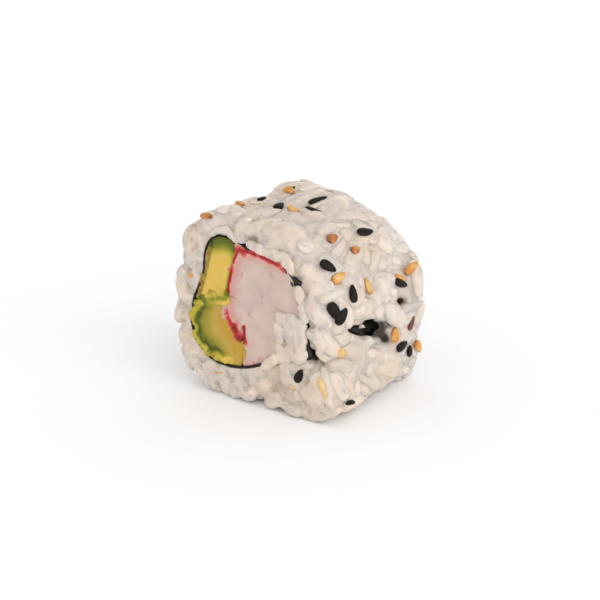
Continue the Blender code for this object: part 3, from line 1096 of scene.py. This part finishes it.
def big_islands(points, faces, least):
    """Drop bubbles and crumbs: all that has less than this share of the largest's vertices."""
    label = np.arange(len(points))
    edges = edges_of(faces)
    while True:
        low = np.minimum(label[edges[:, 0]], label[edges[:, 1]])
        fresh = label.copy()
        np.minimum.at(fresh, edges[:, 0], low)
        np.minimum.at(fresh, edges[:, 1], low)
        fresh = fresh[fresh]
        if np.array_equal(fresh, label):
            break
        label = fresh
    sizes = np.bincount(label, minlength=len(points))
    kept = sizes[label] >= sizes.max() * least
    number = np.cumsum(kept) - 1
    return points[kept], number[faces[kept[faces[:, 0]]]]


def edges_of(faces):
    """The edges of quads, each once for every quad that it borders."""
    return np.vstack([faces[:, [i, (i + 1) % 4]] for i in range(4)])


def evened(points, edges, rounds):
    """Move each vertex towards the middle of its neighbours, round after round."""
    count = np.bincount(edges.ravel(), minlength=len(points))[:, None]
    for _ in range(rounds):
        total = np.zeros_like(points)
        for axis in range(3):
            total[:, axis] += np.bincount(
                edges[:, 0], weights=points[edges[:, 1], axis], minlength=len(points))
            total[:, axis] += np.bincount(
                edges[:, 1], weights=points[edges[:, 0], axis], minlength=len(points))
        points = points * 0.4 + total / count * 0.6
    return points


def outward_of(points, faces):
    """The outward direction at each vertex of a skin made of quads."""
    cross = np.cross(points[faces[:, 2]] - points[faces[:, 0]],
                     points[faces[:, 3]] - points[faces[:, 1]])
    normal = np.zeros_like(points)
    for corner in range(4):
        for axis in range(3):
            normal[:, axis] += np.bincount(
                faces[:, corner], weights=cross[:, axis], minlength=len(points))
    return unit(normal)


# ---- Materials --------------------------------------------------------------------------

def rice_material(colour):
    """Boiled short-grain rice, steamed and seasoned: milky, a little see-through, softly damp."""
    name = "boiled short-grain rice"
    if name in bpy.data.materials:
        return bpy.data.materials[name]
    material, tree, shader = new_material(name)
    place = add_node(tree, "TexCoord").outputs["Object"]
    tone = add_node(tree, "Attribute", {"attribute_name": "tone"}).outputs["Fac"]
    # Starch clouds about 3 mm across, so that no grain has one even colour.
    cloud = add_node(tree, "TexNoise", {"Scale": 1 / (3.33 * MM), "Detail": 3.0}, {"Vector": place})
    summed = add_node(
        tree, "Math", {"operation": "MULTIPLY_ADD", 1: 0.55},
        {0: tone, 2: cloud.outputs["Fac"]})
    body = add_node(
        tree, "ValToRGB",
        {"stops": ((0.35, shade(colour, 0.80)), (0.75, shade(colour, 1.0)),
                   (1.0, shade(colour, 1.12)))},
        {"Fac": summed.outputs[0]})
    # Vinegar and starch leave creamy patches about 12 mm across among cooler white ones.
    patch = add_node(tree, "TexNoise", {"Scale": 1 / (11.8 * MM), "Detail": 2.0}, {"Vector": place})
    tint = add_node(
        tree, "ValToRGB", {"stops": ((0.38, "FCFDFF"), (0.62, "FFFBF3"))},
        {"Fac": patch.outputs["Fac"]})
    tinted = add_node(
        tree, "Mix", {"data_type": "RGBA", "blend_type": "MULTIPLY", 0: 1.0},
        {6: body.outputs["Color"], 7: tint.outputs["Color"]})
    tree.links.new(tinted.outputs[2], shader.inputs["Base Color"])
    set_values(shader, {
        "Subsurface Weight": 0.5, "Subsurface Radius": (1.0, 0.8, 0.65),
        "Subsurface Scale": 1.9 * MM, "Roughness": 0.40, "IOR": 1.42, "Coat Weight": 0.2,
        "Coat Roughness": 0.28})
    # A sticky film with ripples about 1 mm across breaks up the shine.
    film = add_node(tree, "TexNoise", {"Scale": 1 / (1.11 * MM), "Detail": 4.0}, {"Vector": place})
    bump = add_node(
        tree, "Bump", {"Strength": 0.25, "Distance": 0.15 * MM},
        {"Height": film.outputs["Fac"]})
    tree.links.new(bump.outputs["Normal"], shader.inputs["Normal"])
    return material


def card_material():
    """Matt white card, uncoated: it takes the soft shadow and gives back no shine."""
    material, _, shader = new_material("matt white card")
    set_values(shader, {"Base Color": linear("FBFDFF"), "Roughness": 0.8})
    return material


def nori_material():
    """Toasted laver sheet gone damp: green-black, finely wrinkled, with a dull oily shine."""
    material, tree, shader = new_material("toasted nori")
    place = add_node(tree, "TexCoord").outputs["Object"]
    # Cells and fine wrinkles of the pressed leaf, up to about 1.4 mm across.
    cells = add_node(tree, "TexNoise", {"Scale": 1 / (1.43 * MM), "Detail": 5.0}, {"Vector": place})
    body = add_node(
        tree, "ValToRGB",
        {"stops": ((0.35, "0B0908"), (0.55, "1A1512"), (0.75, "2E2A22"))},
        {"Fac": cells.outputs["Fac"]})
    tree.links.new(body.outputs["Color"], shader.inputs["Base Color"])
    set_values(shader, {"Roughness": 0.36, "IOR": 1.45, "Specular IOR Level": 0.3})
    bump = add_node(
        tree, "Bump", {"Strength": 0.6, "Distance": 0.2 * MM},
        {"Height": cells.outputs["Fac"]})
    tree.links.new(bump.outputs["Normal"], shader.inputs["Normal"])
    return material


def avocado_material():
    """Ripe avocado cut with a wet knife: buttery yellow flesh that turns green at the skin."""
    material, tree, shader = new_material("sliced ripe avocado")
    place = add_node(tree, "TexCoord").outputs["Object"]
    green = add_node(tree, "Attribute", {"attribute_name": "green"}).outputs["Fac"]
    # The 'deep' attribute carries painted shade, together with the crown's own darker green.
    deep = add_node(tree, "Attribute", {"attribute_name": "deep"}).outputs["Fac"]
    # Clouds about 2 mm across, as the flesh ripens unevenly.
    cloud = add_node(tree, "TexNoise", {"Scale": 1 / (2.22 * MM), "Detail": 4.0}, {"Vector": place})
    uneven = add_node(
        tree, "Math", {"operation": "MULTIPLY_ADD", 1: 0.24, 2: -0.12},
        {0: cloud.outputs["Fac"]})
    summed = add_node(tree, "Math", {"operation": "ADD"}, {0: green, 1: uneven.outputs[0]})
    body = add_node(
        tree, "ValToRGB",
        {"stops": ((0.0, "D6A136"), (0.22, "D6B658"), (0.45, "B7A63C"),
                   (0.70, "767E1C"), (1.0, "364010"))},
        {"Fac": summed.outputs[0]})
    # Painted shade: the flesh is multiplied darker where 'deep' is high, along the upper strip's
    # left edge and over the lower strip.
    crown_and_shade_darkened = add_node(
        tree, "Mix",
        {"data_type": "RGBA", "blend_type": "MULTIPLY", 7: linear("A29E7C")},
        {0: deep, 6: body.outputs["Color"]})
    tree.links.new(crown_and_shade_darkened.outputs[2], shader.inputs["Base Color"])
    set_values(shader, {
        "Subsurface Weight": 0.2, "Subsurface Radius": (1.0, 0.9, 0.3),
        "Subsurface Scale": 0.6 * MM, "Roughness": 0.38, "IOR": 1.36,
        "Specular IOR Level": 0.35})
    # Creamy pulp with grains about 0.6 mm across.
    pulp = add_node(tree, "TexNoise", {"Scale": 1 / (0.625 * MM), "Detail": 3.0}, {"Vector": place})
    bump = add_node(
        tree, "Bump", {"Strength": 0.35, "Distance": 0.12 * MM},
        {"Height": pulp.outputs["Fac"]})
    tree.links.new(bump.outputs["Normal"], shader.inputs["Normal"])
    return material


def surimi_material():
    """Crab stick sliced clean: pale fish paste with a pink cast, partly dye and partly painted
    shade, under a dyed red skin.
    """
    material, tree, shader = new_material("sliced crab stick")
    place = add_node(tree, "TexCoord").outputs["Object"]
    # The 'skin' attribute also carries a faint band of painted shade, which takes the pale pink end
    # of the dye colours.
    skin = add_node(tree, "Attribute", {"attribute_name": "skin"}).outputs["Fac"]
    # Soft clouds about 3 mm across in the pressed paste.
    cloud = add_node(
        tree, "TexNoise", {"Scale": 1 / (3.125 * MM), "Detail": 3.0}, {"Vector": place})
    flesh = add_node(
        tree, "ValToRGB",
        {"stops": ((0.3, "C0AA9F"), (0.7, "D0B9AE"))},
        {"Fac": cloud.outputs["Fac"]})
    dye = add_node(
        tree, "ValToRGB",
        {"stops": ((0.0, "CC9A90"), (0.35, "CE5F55"), (0.7, "AE1C17"),
                   (1.0, "6E0503"))},
        {"Fac": skin})
    much = add_node(tree, "Math", {"operation": "MULTIPLY", "use_clamp": True, 1: 3.0}, {0: skin})
    mixed = add_node(
        tree, "Mix", {"data_type": "RGBA"},
        {0: much.outputs[0], 6: flesh.outputs["Color"], 7: dye.outputs["Color"]})
    tree.links.new(mixed.outputs[2], shader.inputs["Base Color"])
    set_values(shader, {
        "Subsurface Weight": 0.3, "Subsurface Radius": (1.0, 0.6, 0.5),
        "Subsurface Scale": 0.7 * MM, "Roughness": 0.38, "IOR": 1.4})
    # Fibres and pores about 1 mm across.
    grain = add_node(tree, "TexNoise", {"Scale": 1 / (1.11 * MM), "Detail": 4.0}, {"Vector": place})
    bump = add_node(
        tree, "Bump", {"Strength": 0.22, "Distance": 0.15 * MM},
        {"Height": grain.outputs["Fac"]})
    tree.links.new(bump.outputs["Normal"], shader.inputs["Normal"])
    return material


def black_sesame_material():
    """Black sesame, washed and roasted: a matt, finely netted hull that glints along its edge."""
    material, tree, shader = new_material("roasted black sesame hull")
    place = add_node(tree, "TexCoord").outputs["Object"]
    # The net of the hull has meshes a little under half a millimetre wide.
    net = add_node(tree, "TexNoise", {"Scale": 1 / (0.455 * MM), "Detail": 3.0}, {"Vector": place})
    body = add_node(
        tree, "ValToRGB",
        {"stops": ((0.40, "080403"), (0.60, "170D09"), (0.80, "3A2620"))},
        {"Fac": net.outputs["Fac"]})
    tree.links.new(body.outputs["Color"], shader.inputs["Base Color"])
    set_values(shader, {"Roughness": 0.5, "IOR": 1.4, "Specular IOR Level": 0.3})
    bump = add_node(
        tree, "Bump", {"Strength": 0.5, "Distance": 0.06 * MM},
        {"Height": net.outputs["Fac"]})
    tree.links.new(bump.outputs["Normal"], shader.inputs["Normal"])
    return material


def toasted_sesame_material():
    """White sesame toasted in a dry pan: straw to amber, oily, darker on the side that burned."""
    material, tree, shader = new_material("pan-toasted white sesame")
    place = add_node(tree, "TexCoord").outputs["Object"]
    toast = add_node(tree, "Attribute", {"attribute_name": "toast"}).outputs["Fac"]
    # Each seed is darker in spots about 1 mm across.
    spots = add_node(tree, "TexNoise", {"Scale": 1 / (1.0 * MM), "Detail": 3.0}, {"Vector": place})
    summed = add_node(tree, "Math", {"operation": "MULTIPLY_ADD", 1: 0.6, 2: 0.2}, {0: toast})
    mottled = add_node(
        tree, "Math", {"operation": "MULTIPLY_ADD", 1: 0.8, 2: -0.4},
        {0: spots.outputs["Fac"]})
    browned = add_node(
        tree, "Math", {"operation": "ADD"},
        {0: summed.outputs[0], 1: mottled.outputs[0]})
    body = add_node(
        tree, "ValToRGB",
        {"stops": ((0.20, "DDBE84"), (0.45, "D0A054"), (0.65, "C58535"),
                   (0.80, "A9632B"), (1.0, "6A3024"))},
        {"Fac": browned.outputs[0]})
    tree.links.new(body.outputs["Color"], shader.inputs["Base Color"])
    set_values(shader, {
        "Subsurface Weight": 0.25, "Subsurface Radius": (1.0, 0.6, 0.3),
        "Subsurface Scale": 0.5 * MM, "Roughness": 0.36, "IOR": 1.47})
    bump = add_node(
        tree, "Bump", {"Strength": 0.3, "Distance": 0.06 * MM},
        {"Height": spots.outputs["Fac"]})
    tree.links.new(bump.outputs["Normal"], shader.inputs["Normal"])
    return material


# ---- Filling ----------------------------------------------------------------------------

# How finely the fillings and the smeared rice are melted.
FILLING_VOXEL = 0.24 * MM

# Edges bent further than this stay crisp, as the knife leaves them.
CUT_ANGLE = math.radians(50)

# How far each kind swells to fill its room, and how many rounds soften its edges.
AVOCADO_SWELL = 0.32 * MM
AVOCADO_ROUNDS = 4
SURIMI_SWELL = 0.34 * MM
SURIMI_ROUNDS = 2

# The fillings end this far inside the nori's outer face; how far they may give way or reach.
UNDER_NORI = 0.55 * MM
GIVE_WAY = 0.4 * MM
REACH_OUT = 1.1 * MM

# How far from the middle the knife cut each filling; soft ones bulge a little further.
FILLING_END = {
    "avocado_upper": 15.56 * MM,
    "avocado_lower": 15.36 * MM,
    "surimi_upper": 15.44 * MM,
    "surimi_lower": 15.41 * MM,
}


def filling_heap(node, extra=()):
    """A filling's solid and any lumps to melt into it, as one loose mesh."""
    heap = bmesh.new()
    heap.from_mesh(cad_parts[node].data)
    for place, size in extra:
        made = bmesh.ops.create_icosphere(heap, subdivisions=2, radius=1.0)
        bmesh.ops.scale(heap, vec=size, verts=made["verts"])
        bmesh.ops.translate(heap, vec=place, verts=made["verts"])
    return mesh_from(heap, node + "_heap")


def swell_filling(points, faces, grow, rounds, end):
    """Round the edges of a melted filling and swell it until it meets what is round it."""
    points = evened(points, edges_of(faces), rounds)
    normal = outward_of(points, faces)
    across = normal * np.array([1, 0, 1])
    points = points + across * grow
    on_cut = np.abs(normal[:, 1]) > 0.2
    side = np.sign(points[on_cut, 1])
    points[on_cut, 1] = side * np.maximum(np.abs(points[on_cut, 1]), end)
    clear, outward = off_nori(points)
    facing = np.sum(normal * outward, axis=1) > 0.35
    reach = np.clip(-UNDER_NORI - clear, -GIVE_WAY, REACH_OUT) * facing
    points = points + outward * reach[:, None]
    return points, outward_of(points, faces)


def off_line(points, line):
    """Distance of points from a line of (x, z) corners in mm, seen along the roll."""
    place = points[:, [0, 2]]
    nearest = np.full(len(points), np.inf)
    for start, end in zip(line, line[1:]):
        start = np.array(start) * MM
        run = np.array(end) * MM - start
        part = np.clip((place - start) @ run / (run @ run), 0, 1)
        away = np.linalg.norm(place - start - part[:, None] * run, axis=1)
        nearest = np.minimum(nearest, away)
    return nearest


def beside(points, line, reach, strength):
    """A strength along a line of corners that fades out over a reach in mm."""
    return strength * np.exp(-(off_line(points, line) / (reach * MM)) ** 2)


def bumps(points, size, seed):
    """Smooth random lumps of one size, between about -1 and 1."""
    rng = np.random.default_rng(seed)
    total = np.zeros(len(points))
    for _ in range(7):
        way = unit(rng.normal(size=3)) * 2 * math.pi / size * rng.uniform(0.7, 1.4)
        total += np.sin(points @ way + rng.uniform(0, 6.3))
    return total / 3.0


def blend_between(value, low, high):
    """0 below low, 1 above high, smooth between."""
    part = np.clip((value - low) / (high - low), 0, 1)
    return part * part * (3 - 2 * part)


# Lines on the cut end as (x, z) corners in mm: the skin side of each avocado strip first.
CROWN = ((-9.4, 31.9), (-6.9, 32.6), (-4.6, 32.2), (-3.3, 31.2))
UPPER_LEFT = ((-10.3, 30.6), (-11.4, 27.1), (-12.3, 23.8), (-13.9, 19.9), (-14.8, 17.8))
UPPER_RIGHT = ((-3.0, 31.0), (-3.9, 28.4), (-4.8, 25.4), (-5.9, 21.5))
UPPER_FOOT = ((-12.9, 18.1), (-10.8, 19.3), (-8.1, 20.3), (-6.1, 20.6))
LOWER_SKIN = ((-12.9, 18.5), (-14.6, 16.5), (-15.1, 14.2), (-14.3, 11.2), (-12.8, 9.3),
              (-10.2, 8.2), (-6.0, 7.7))
LOWER_TOP = ((-12.7, 18.5), (-11.3, 19.3), (-9.0, 20.0), (-6.4, 20.2))
LOWER_HEART = ((-5.4, 16.5), (-4.6, 14.2), (-3.0, 12.6), (-2.6, 9.0))


class URAMAKI_OT_avocado(bpy.types.Operator):
    """Shape the two avocado strips, soft at the edges and mashed where the knife caught them"""

    bl_idname = "uramaki.avocado"
    bl_label = "Avocado"

    def execute(self, context):
        material = avocado_material()
        rng = np.random.default_rng(AVOCADO_DRAW)
        heaps = {
            "avocado_upper": mash_lumps(UPPER_FOOT, 10, rng),
            "avocado_lower": (
                mash_lumps(LOWER_SKIN, 60, rng) + mash_lumps(LOWER_TOP, 22, rng)
                + both_ends((-3.1, 10.8), (1.2, 1.6, 1.7))),
        }
        for node, lumps in heaps.items():
            points, faces = melted(filling_heap(node, lumps), FILLING_VOXEL)
            points, normal = swell_filling(
                points, faces, AVOCADO_SWELL, AVOCADO_ROUNDS, FILLING_END[node])
            rough = bumps(points, 2.4 * MM, 3) * 0.06 + bumps(points, 1.1 * MM, 4) * 0.04
            points = points + normal * (rough * MM)[:, None]
            piece = new_piece(mesh_of(node + "_flesh", points, faces), material)
            piece.data.set_sharp_from_angle(angle=CUT_ANGLE)
            set_attribute(piece, "green", avocado_green(node, points))
            # The 'deep' attribute holds painted shade on the flesh, with the crown's own darker
            # green.
            set_attribute(piece, "deep", avocado_crown_and_painted_shade(node, points))
            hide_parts(node)
        return {"FINISHED"}


def both_ends(place, size):
    """A lump of flesh at each cut end: its (x, z) and its half size, in mm."""
    x, z = place
    width, depth, height = size
    return [((x * MM, end * (HALF_LENGTH - 0.4 * MM - depth * MM), z * MM),
             (width * MM, depth * MM, height * MM)) for end in (-1, 1)]


def mash_lumps(line, count, rng):
    """Lumps of mashed flesh strewn along a line at both cut ends."""
    path = np.array(line) * MM
    lumps = []
    for number in range(count):
        part = rng.uniform(0, len(path) - 1.01)
        first = int(part)
        x, z = path[first] + (path[first + 1] - path[first]) * (part - first)
        x += rng.normal() * 0.4 * MM
        z += rng.normal() * 0.4 * MM
        end = 1 if number % 2 else -1
        y = end * (HALF_LENGTH - rng.uniform(0.1, 0.5) * MM)
        lumps.append(((x, y, z), rng.uniform(0.35, 0.8, 3) * MM))
    return lumps


def avocado_green(node, points):
    """How green the flesh is: 0 in the middle of the fruit, 1 at its skin."""
    if node == "avocado_upper":
        crown = beside(points, CROWN, 3.2, 0.88)
        right = beside(points, UPPER_RIGHT, 1.2, 0.84)
        foot = beside(points, UPPER_FOOT, 0.8, 0.66)
        return np.maximum.reduce([np.full(len(points), 0.20), crown, right, foot])
    skin = off_line(points, LOWER_SKIN) + 0.2 * MM * bumps(points, 2.0 * MM, 15)
    inner = 0.12 + 0.58 * np.exp(-(skin / (4.6 * MM)) ** 2)
    heart = blend_between(off_line(points, LOWER_HEART), 1.5 * MM, 6.5 * MM)
    top = beside(points, LOWER_TOP, 1.3, 0.52)
    band = 0.24 * np.exp(-((skin - 1.25 * MM) / (0.40 * MM)) ** 2) * heart
    mash = 0.26 * blend_between(-skin, -1.0 * MM, -0.4 * MM)
    return np.maximum(inner * (0.25 + 0.75 * heart) + band - mash, top)


def avocado_crown_and_painted_shade(node, points):
    """How far the flesh is darkened: the crown's own darker green, and painted shade along the
    upper strip's left edge and over the lower strip; 0 along the pale mashed rim.
    """
    if node == "avocado_upper":
        crown = beside(points, CROWN, 2.2, 0.25)
        # Painted shade: a darker band along the upper strip's left edge, where the flesh meets the
        # nori.
        left = blend_between(-off_line(points, UPPER_LEFT), -1.3 * MM, -0.9 * MM)
        return np.maximum(crown, left * (0.85 + 0.15 * bumps(points, 1.5 * MM, 14)))
    # Painted shade: the lower strip is darker all over, except along its pale mashed rim.
    edge = np.minimum(off_line(points, LOWER_SKIN), off_line(points, LOWER_TOP))
    return 0.42 * blend_between(edge, 0.7 * MM, 1.6 * MM)


# The crab stick's side against the avocado, as (x, z) corners in mm.
CRAB_LEFT = ((-3.2, 31.0), (-3.8, 29.4), (-4.8, 27.2), (-5.5, 24.0), (-6.0, 21.4),
             (-6.8, 18.6), (-6.0, 16.7), (-5.1, 15.2))

# Where the crab stick's red dye shows, and one faint band that is partly painted shade: corners (x,
# z), half width in mm, and how strong.
RED_LINES = (
    (((-3.0, 30.6), (-1.6, 30.6)), 0.70, 0.8),
    (((-1.6, 30.7), (1.0, 30.5), (3.6, 30.0), (6.6, 29.4), (8.1, 28.2)), 0.45, 1.0),
    (((-2.4, 29.8), (1.0, 29.6), (4.0, 29.0), (7.0, 28.2)), 1.10, 0.16),
    (CRAB_LEFT[:5], 0.30, 0.95),
    # Partly dye soaking in and partly painted shade: a faint pink band along the side next to the
    # avocado.
    (((-2.8, 29.2), (-3.9, 27.0), (-4.8, 24.0), (-5.2, 21.0), (-5.2, 17.5), (-3.8, 15.6)),
     1.40, 0.18),
    (CRAB_LEFT[5:], 0.50, 0.8),
    (((-4.7, 15.0), (-4.0, 13.9), (-3.2, 13.0), (-2.6, 12.4)), 1.00, 1.0),
    (((-2.2, 15.6), (-2.1, 13.6), (-2.4, 12.2)), 0.36, 1.2),
    (((-1.9, 12.0), (-2.0, 9.0)), 0.22, 0.4),
    (((-1.6, 8.2), (0.4, 8.9), (1.7, 9.8)), 0.36, 0.5),
)

# Air holes that the knife opened in the crab stick: (x, z) and width, in mm.
SURIMI_PITS = ((-2.8, 25.8, 0.5), (-1.2, 18.1, 0.6), (4.3, 27.1, 0.4), (2.2, 22.4, 0.35))


class URAMAKI_OT_surimi(bpy.types.Operator):
    """Shape the two pieces of crab stick with their red skins and the folded notch"""

    bl_idname = "uramaki.surimi"
    bl_label = "Crab stick"

    def execute(self, context):
        material = surimi_material()
        fold = both_ends((-3.1, 14.8), (1.5, 1.4, 1.3))
        for node, lumps in (("surimi_upper", ()), ("surimi_lower", fold)):
            points, faces = melted(filling_heap(node, lumps), FILLING_VOXEL)
            points, normal = swell_filling(
                points, faces, SURIMI_SWELL, SURIMI_ROUNDS, FILLING_END[node])
            points = points + normal * (bumps(points, 5.0 * MM, 8) * 0.05 * MM)[:, None]
            points = pitted(points, normal)
            piece = new_piece(mesh_of(node + "_flesh", points, faces), material)
            piece.data.set_sharp_from_angle(angle=CUT_ANGLE)
            # The 'skin' attribute holds the red dye and a faint band of painted shade.
            set_attribute(piece, "skin", surimi_dye_and_painted_shade(points, normal))
            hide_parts(node)
        return {"FINISHED"}


def pitted(points, normal):
    """Push small air holes into the cut ends."""
    on_cut = np.abs(normal[:, 1]) > 0.7
    depth = np.zeros(len(points))
    for x, z, width in SURIMI_PITS:
        away = np.hypot(points[:, 0] - x * MM, points[:, 2] - z * MM)
        depth += 0.55 * MM * np.exp(-(away / (width * 0.6 * MM)) ** 2)
    points = points.copy()
    points[:, 1] -= np.sign(points[:, 1]) * depth * on_cut
    return points


def surimi_dye_and_painted_shade(points, normal):
    """How much red dye there is: about 1 on the skin, fading into the flesh, with a faint band of
    painted shade along the side next to the avocado.
    """
    dyed_side = (off_line(points, CRAB_LEFT) < 1.2 * MM) | (points[:, 2] > 28.0 * MM)
    wall = blend_between(-np.abs(normal[:, 1]), -0.9, -0.6) * dyed_side
    ragged = (1 + 0.35 * bumps(points, 2.0 * MM, 12)) * MM
    dye = 0.7 * wall
    for line, width, strength in RED_LINES:
        away = off_line(points, line) / (width * ragged)
        dye = np.maximum(dye, strength * np.exp(-away ** 2))
    return dye


# How finely the sheet is cut up across, along and upward before it is crumpled.
SHEET_STEPS = (30, 40, 30)


class URAMAKI_OT_nori(bpy.types.Operator):
    """Crumple the nori sheet between the rice grains outside and the filling inside"""

    bl_idname = "uramaki.nori"
    bl_label = "Nori"

    def execute(self, context):
        shape = bmesh.new()
        shape.from_mesh(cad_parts["nori"].data)
        bmesh.ops.remove_doubles(shape, verts=shape.verts, dist=0.001 * MM)
        for axis, steps in enumerate(SHEET_STEPS):
            across = [float(i == axis) for i in range(3)]
            for step in range(1, steps):
                middle = NORI_LOW + (NORI_HIGH - NORI_LOW) * step / steps
                bmesh.ops.bisect_plane(
                    shape, geom=shape.verts[:] + shape.edges[:] + shape.faces[:],
                    plane_co=middle, plane_no=across)
        bmesh.ops.triangulate(shape, faces=shape.faces)
        mesh = mesh_from(shape, "nori_sheet")
        points = np.array([v.co for v in mesh.vertices])
        _, outward = off_nori(points)
        crumple = bumps(points, 3.2 * MM, 31) * 0.12 + bumps(points, 1.4 * MM, 32) * 0.05
        room, _ = hollow_room(points)
        standing = blend_between(-room, -0.8 * MM, 0.8 * MM)
        standing = standing * (1.9 + 0.6 * bumps(points, 2.6 * MM, 33))
        under = np.clip(dragged_over(points), 0, 1)
        moved = (crumple + standing) * MM - pinched(points[:, [0, 2]])
        points = points + outward * moved[:, None]
        at_end = blend_between(np.abs(points[:, 1]), NORI_HIGH[1] * 0.9, NORI_HIGH[1])
        points[:, 1] *= 1 + at_end * (0.012 - 0.03 * under)
        mesh.vertices.foreach_set("co", points.ravel())
        piece = new_piece(mesh, nori_material())
        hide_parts("nori")
        return {"FINISHED"}


# ---- Stage ------------------------------------------------------------------------------

FLOOR_WIDTH = 12.0
ROOM_LIGHT = 0.89

# Directions are (degrees round from the -Y end towards +X, degrees up).
KEY_FROM = (67, 18)
KEY_POWER = 1.65
KEY_WIDTH = math.radians(75)
VIEW_FROM = (37, 18)
VIEW_DISTANCE = 260 * MM
VIEW_CENTRE = Vector((0, 0, 18 * MM))
VIEW_AIM = Vector((-0.3, -0.2, 17.3)) * MM
LENS = 79
SENSOR_WIDTH = 36


def towards(azimuth, elevation):
    """The direction out to a lamp or camera, from degrees round and degrees up."""
    a = math.radians(azimuth)
    e = math.radians(elevation)
    return Vector((math.sin(a) * math.cos(e), -math.cos(a) * math.cos(e), math.sin(e)))


def look_along(thing, back):
    """Turn a lamp or camera so that it looks against a direction."""
    thing.rotation_euler = back.to_track_quat("Z", "Y").to_euler()


class URAMAKI_OT_stage(bpy.types.Operator):
    """Set up the pale floor, the soft lights and the camera"""

    bl_idname = "uramaki.stage"
    bl_label = "Stage"

    def execute(self, context):
        scene = context.scene
        bpy.ops.mesh.primitive_plane_add(size=FLOOR_WIDTH, location=(0, 0, 0))
        floor = context.object
        floor.name = "floor"
        floor.data.materials.append(card_material())
        world = bpy.data.worlds.new("pale room")
        world.use_nodes = True
        set_values(
            world.node_tree.nodes["Background"],
            {"Color": linear("FFFCFA"), "Strength": ROOM_LIGHT})
        scene.world = world
        sun = bpy.data.lights.new("key", "SUN")
        sun.energy = KEY_POWER
        sun.color = linear("FAFDFF")[:3]
        sun.angle = KEY_WIDTH
        lamp = bpy.data.objects.new("key", sun)
        look_along(lamp, towards(*KEY_FROM))
        scene.collection.objects.link(lamp)
        lens = bpy.data.cameras.new("camera")
        lens.sensor_width = SENSOR_WIDTH
        lens.lens = LENS
        camera = bpy.data.objects.new("camera", lens)
        camera.location = VIEW_CENTRE + towards(*VIEW_FROM) * VIEW_DISTANCE
        look_along(camera, camera.location - VIEW_AIM)
        scene.collection.objects.link(camera)
        scene.camera = camera
        scene.view_settings.view_transform = "Standard"
        return {"FINISHED"}


class URAMAKI_PT_panel(bpy.types.Panel):
    """Lists the settings and the steps that build the piece."""

    bl_idname = "URAMAKI_PT_panel"
    bl_label = "Uramaki"
    bl_space_type = "VIEW_3D"
    bl_region_type = "UI"
    bl_category = "Uramaki"

    def draw(self, context):
        for group in (context.scene.uramaki_rice, context.scene.uramaki_seeds):
            box = self.layout.box()
            for name in group.__annotations__:
                box.prop(group, name)
        for operator in OPERATORS:
            self.layout.operator(operator.bl_idname)


OPERATORS = (
    URAMAKI_OT_rice_grains,
    URAMAKI_OT_rice_core,
    URAMAKI_OT_rice_smear,
    URAMAKI_OT_nori,
    URAMAKI_OT_avocado,
    URAMAKI_OT_surimi,
    URAMAKI_OT_sesame,
    URAMAKI_OT_stage,
)
CLASSES = (UramakiRiceSettings, UramakiSeedSettings, *OPERATORS, URAMAKI_PT_panel)


def register():
    for cls in CLASSES:
        bpy.utils.register_class(cls)
    bpy.types.Scene.uramaki_rice = bpy.props.PointerProperty(type=UramakiRiceSettings)
    bpy.types.Scene.uramaki_seeds = bpy.props.PointerProperty(type=UramakiSeedSettings)


def unregister():
    del bpy.types.Scene.uramaki_seeds
    del bpy.types.Scene.uramaki_rice
    for cls in reversed(CLASSES):
        bpy.utils.unregister_class(cls)


def main():
    register()
    bpy.ops.uramaki.rice_grains()
    bpy.ops.uramaki.rice_core()
    bpy.ops.uramaki.rice_smear()
    bpy.ops.uramaki.nori()
    bpy.ops.uramaki.avocado()
    bpy.ops.uramaki.surimi()
    bpy.ops.uramaki.sesame()
    bpy.ops.uramaki.stage()


if __name__ == "__main__":
    main()
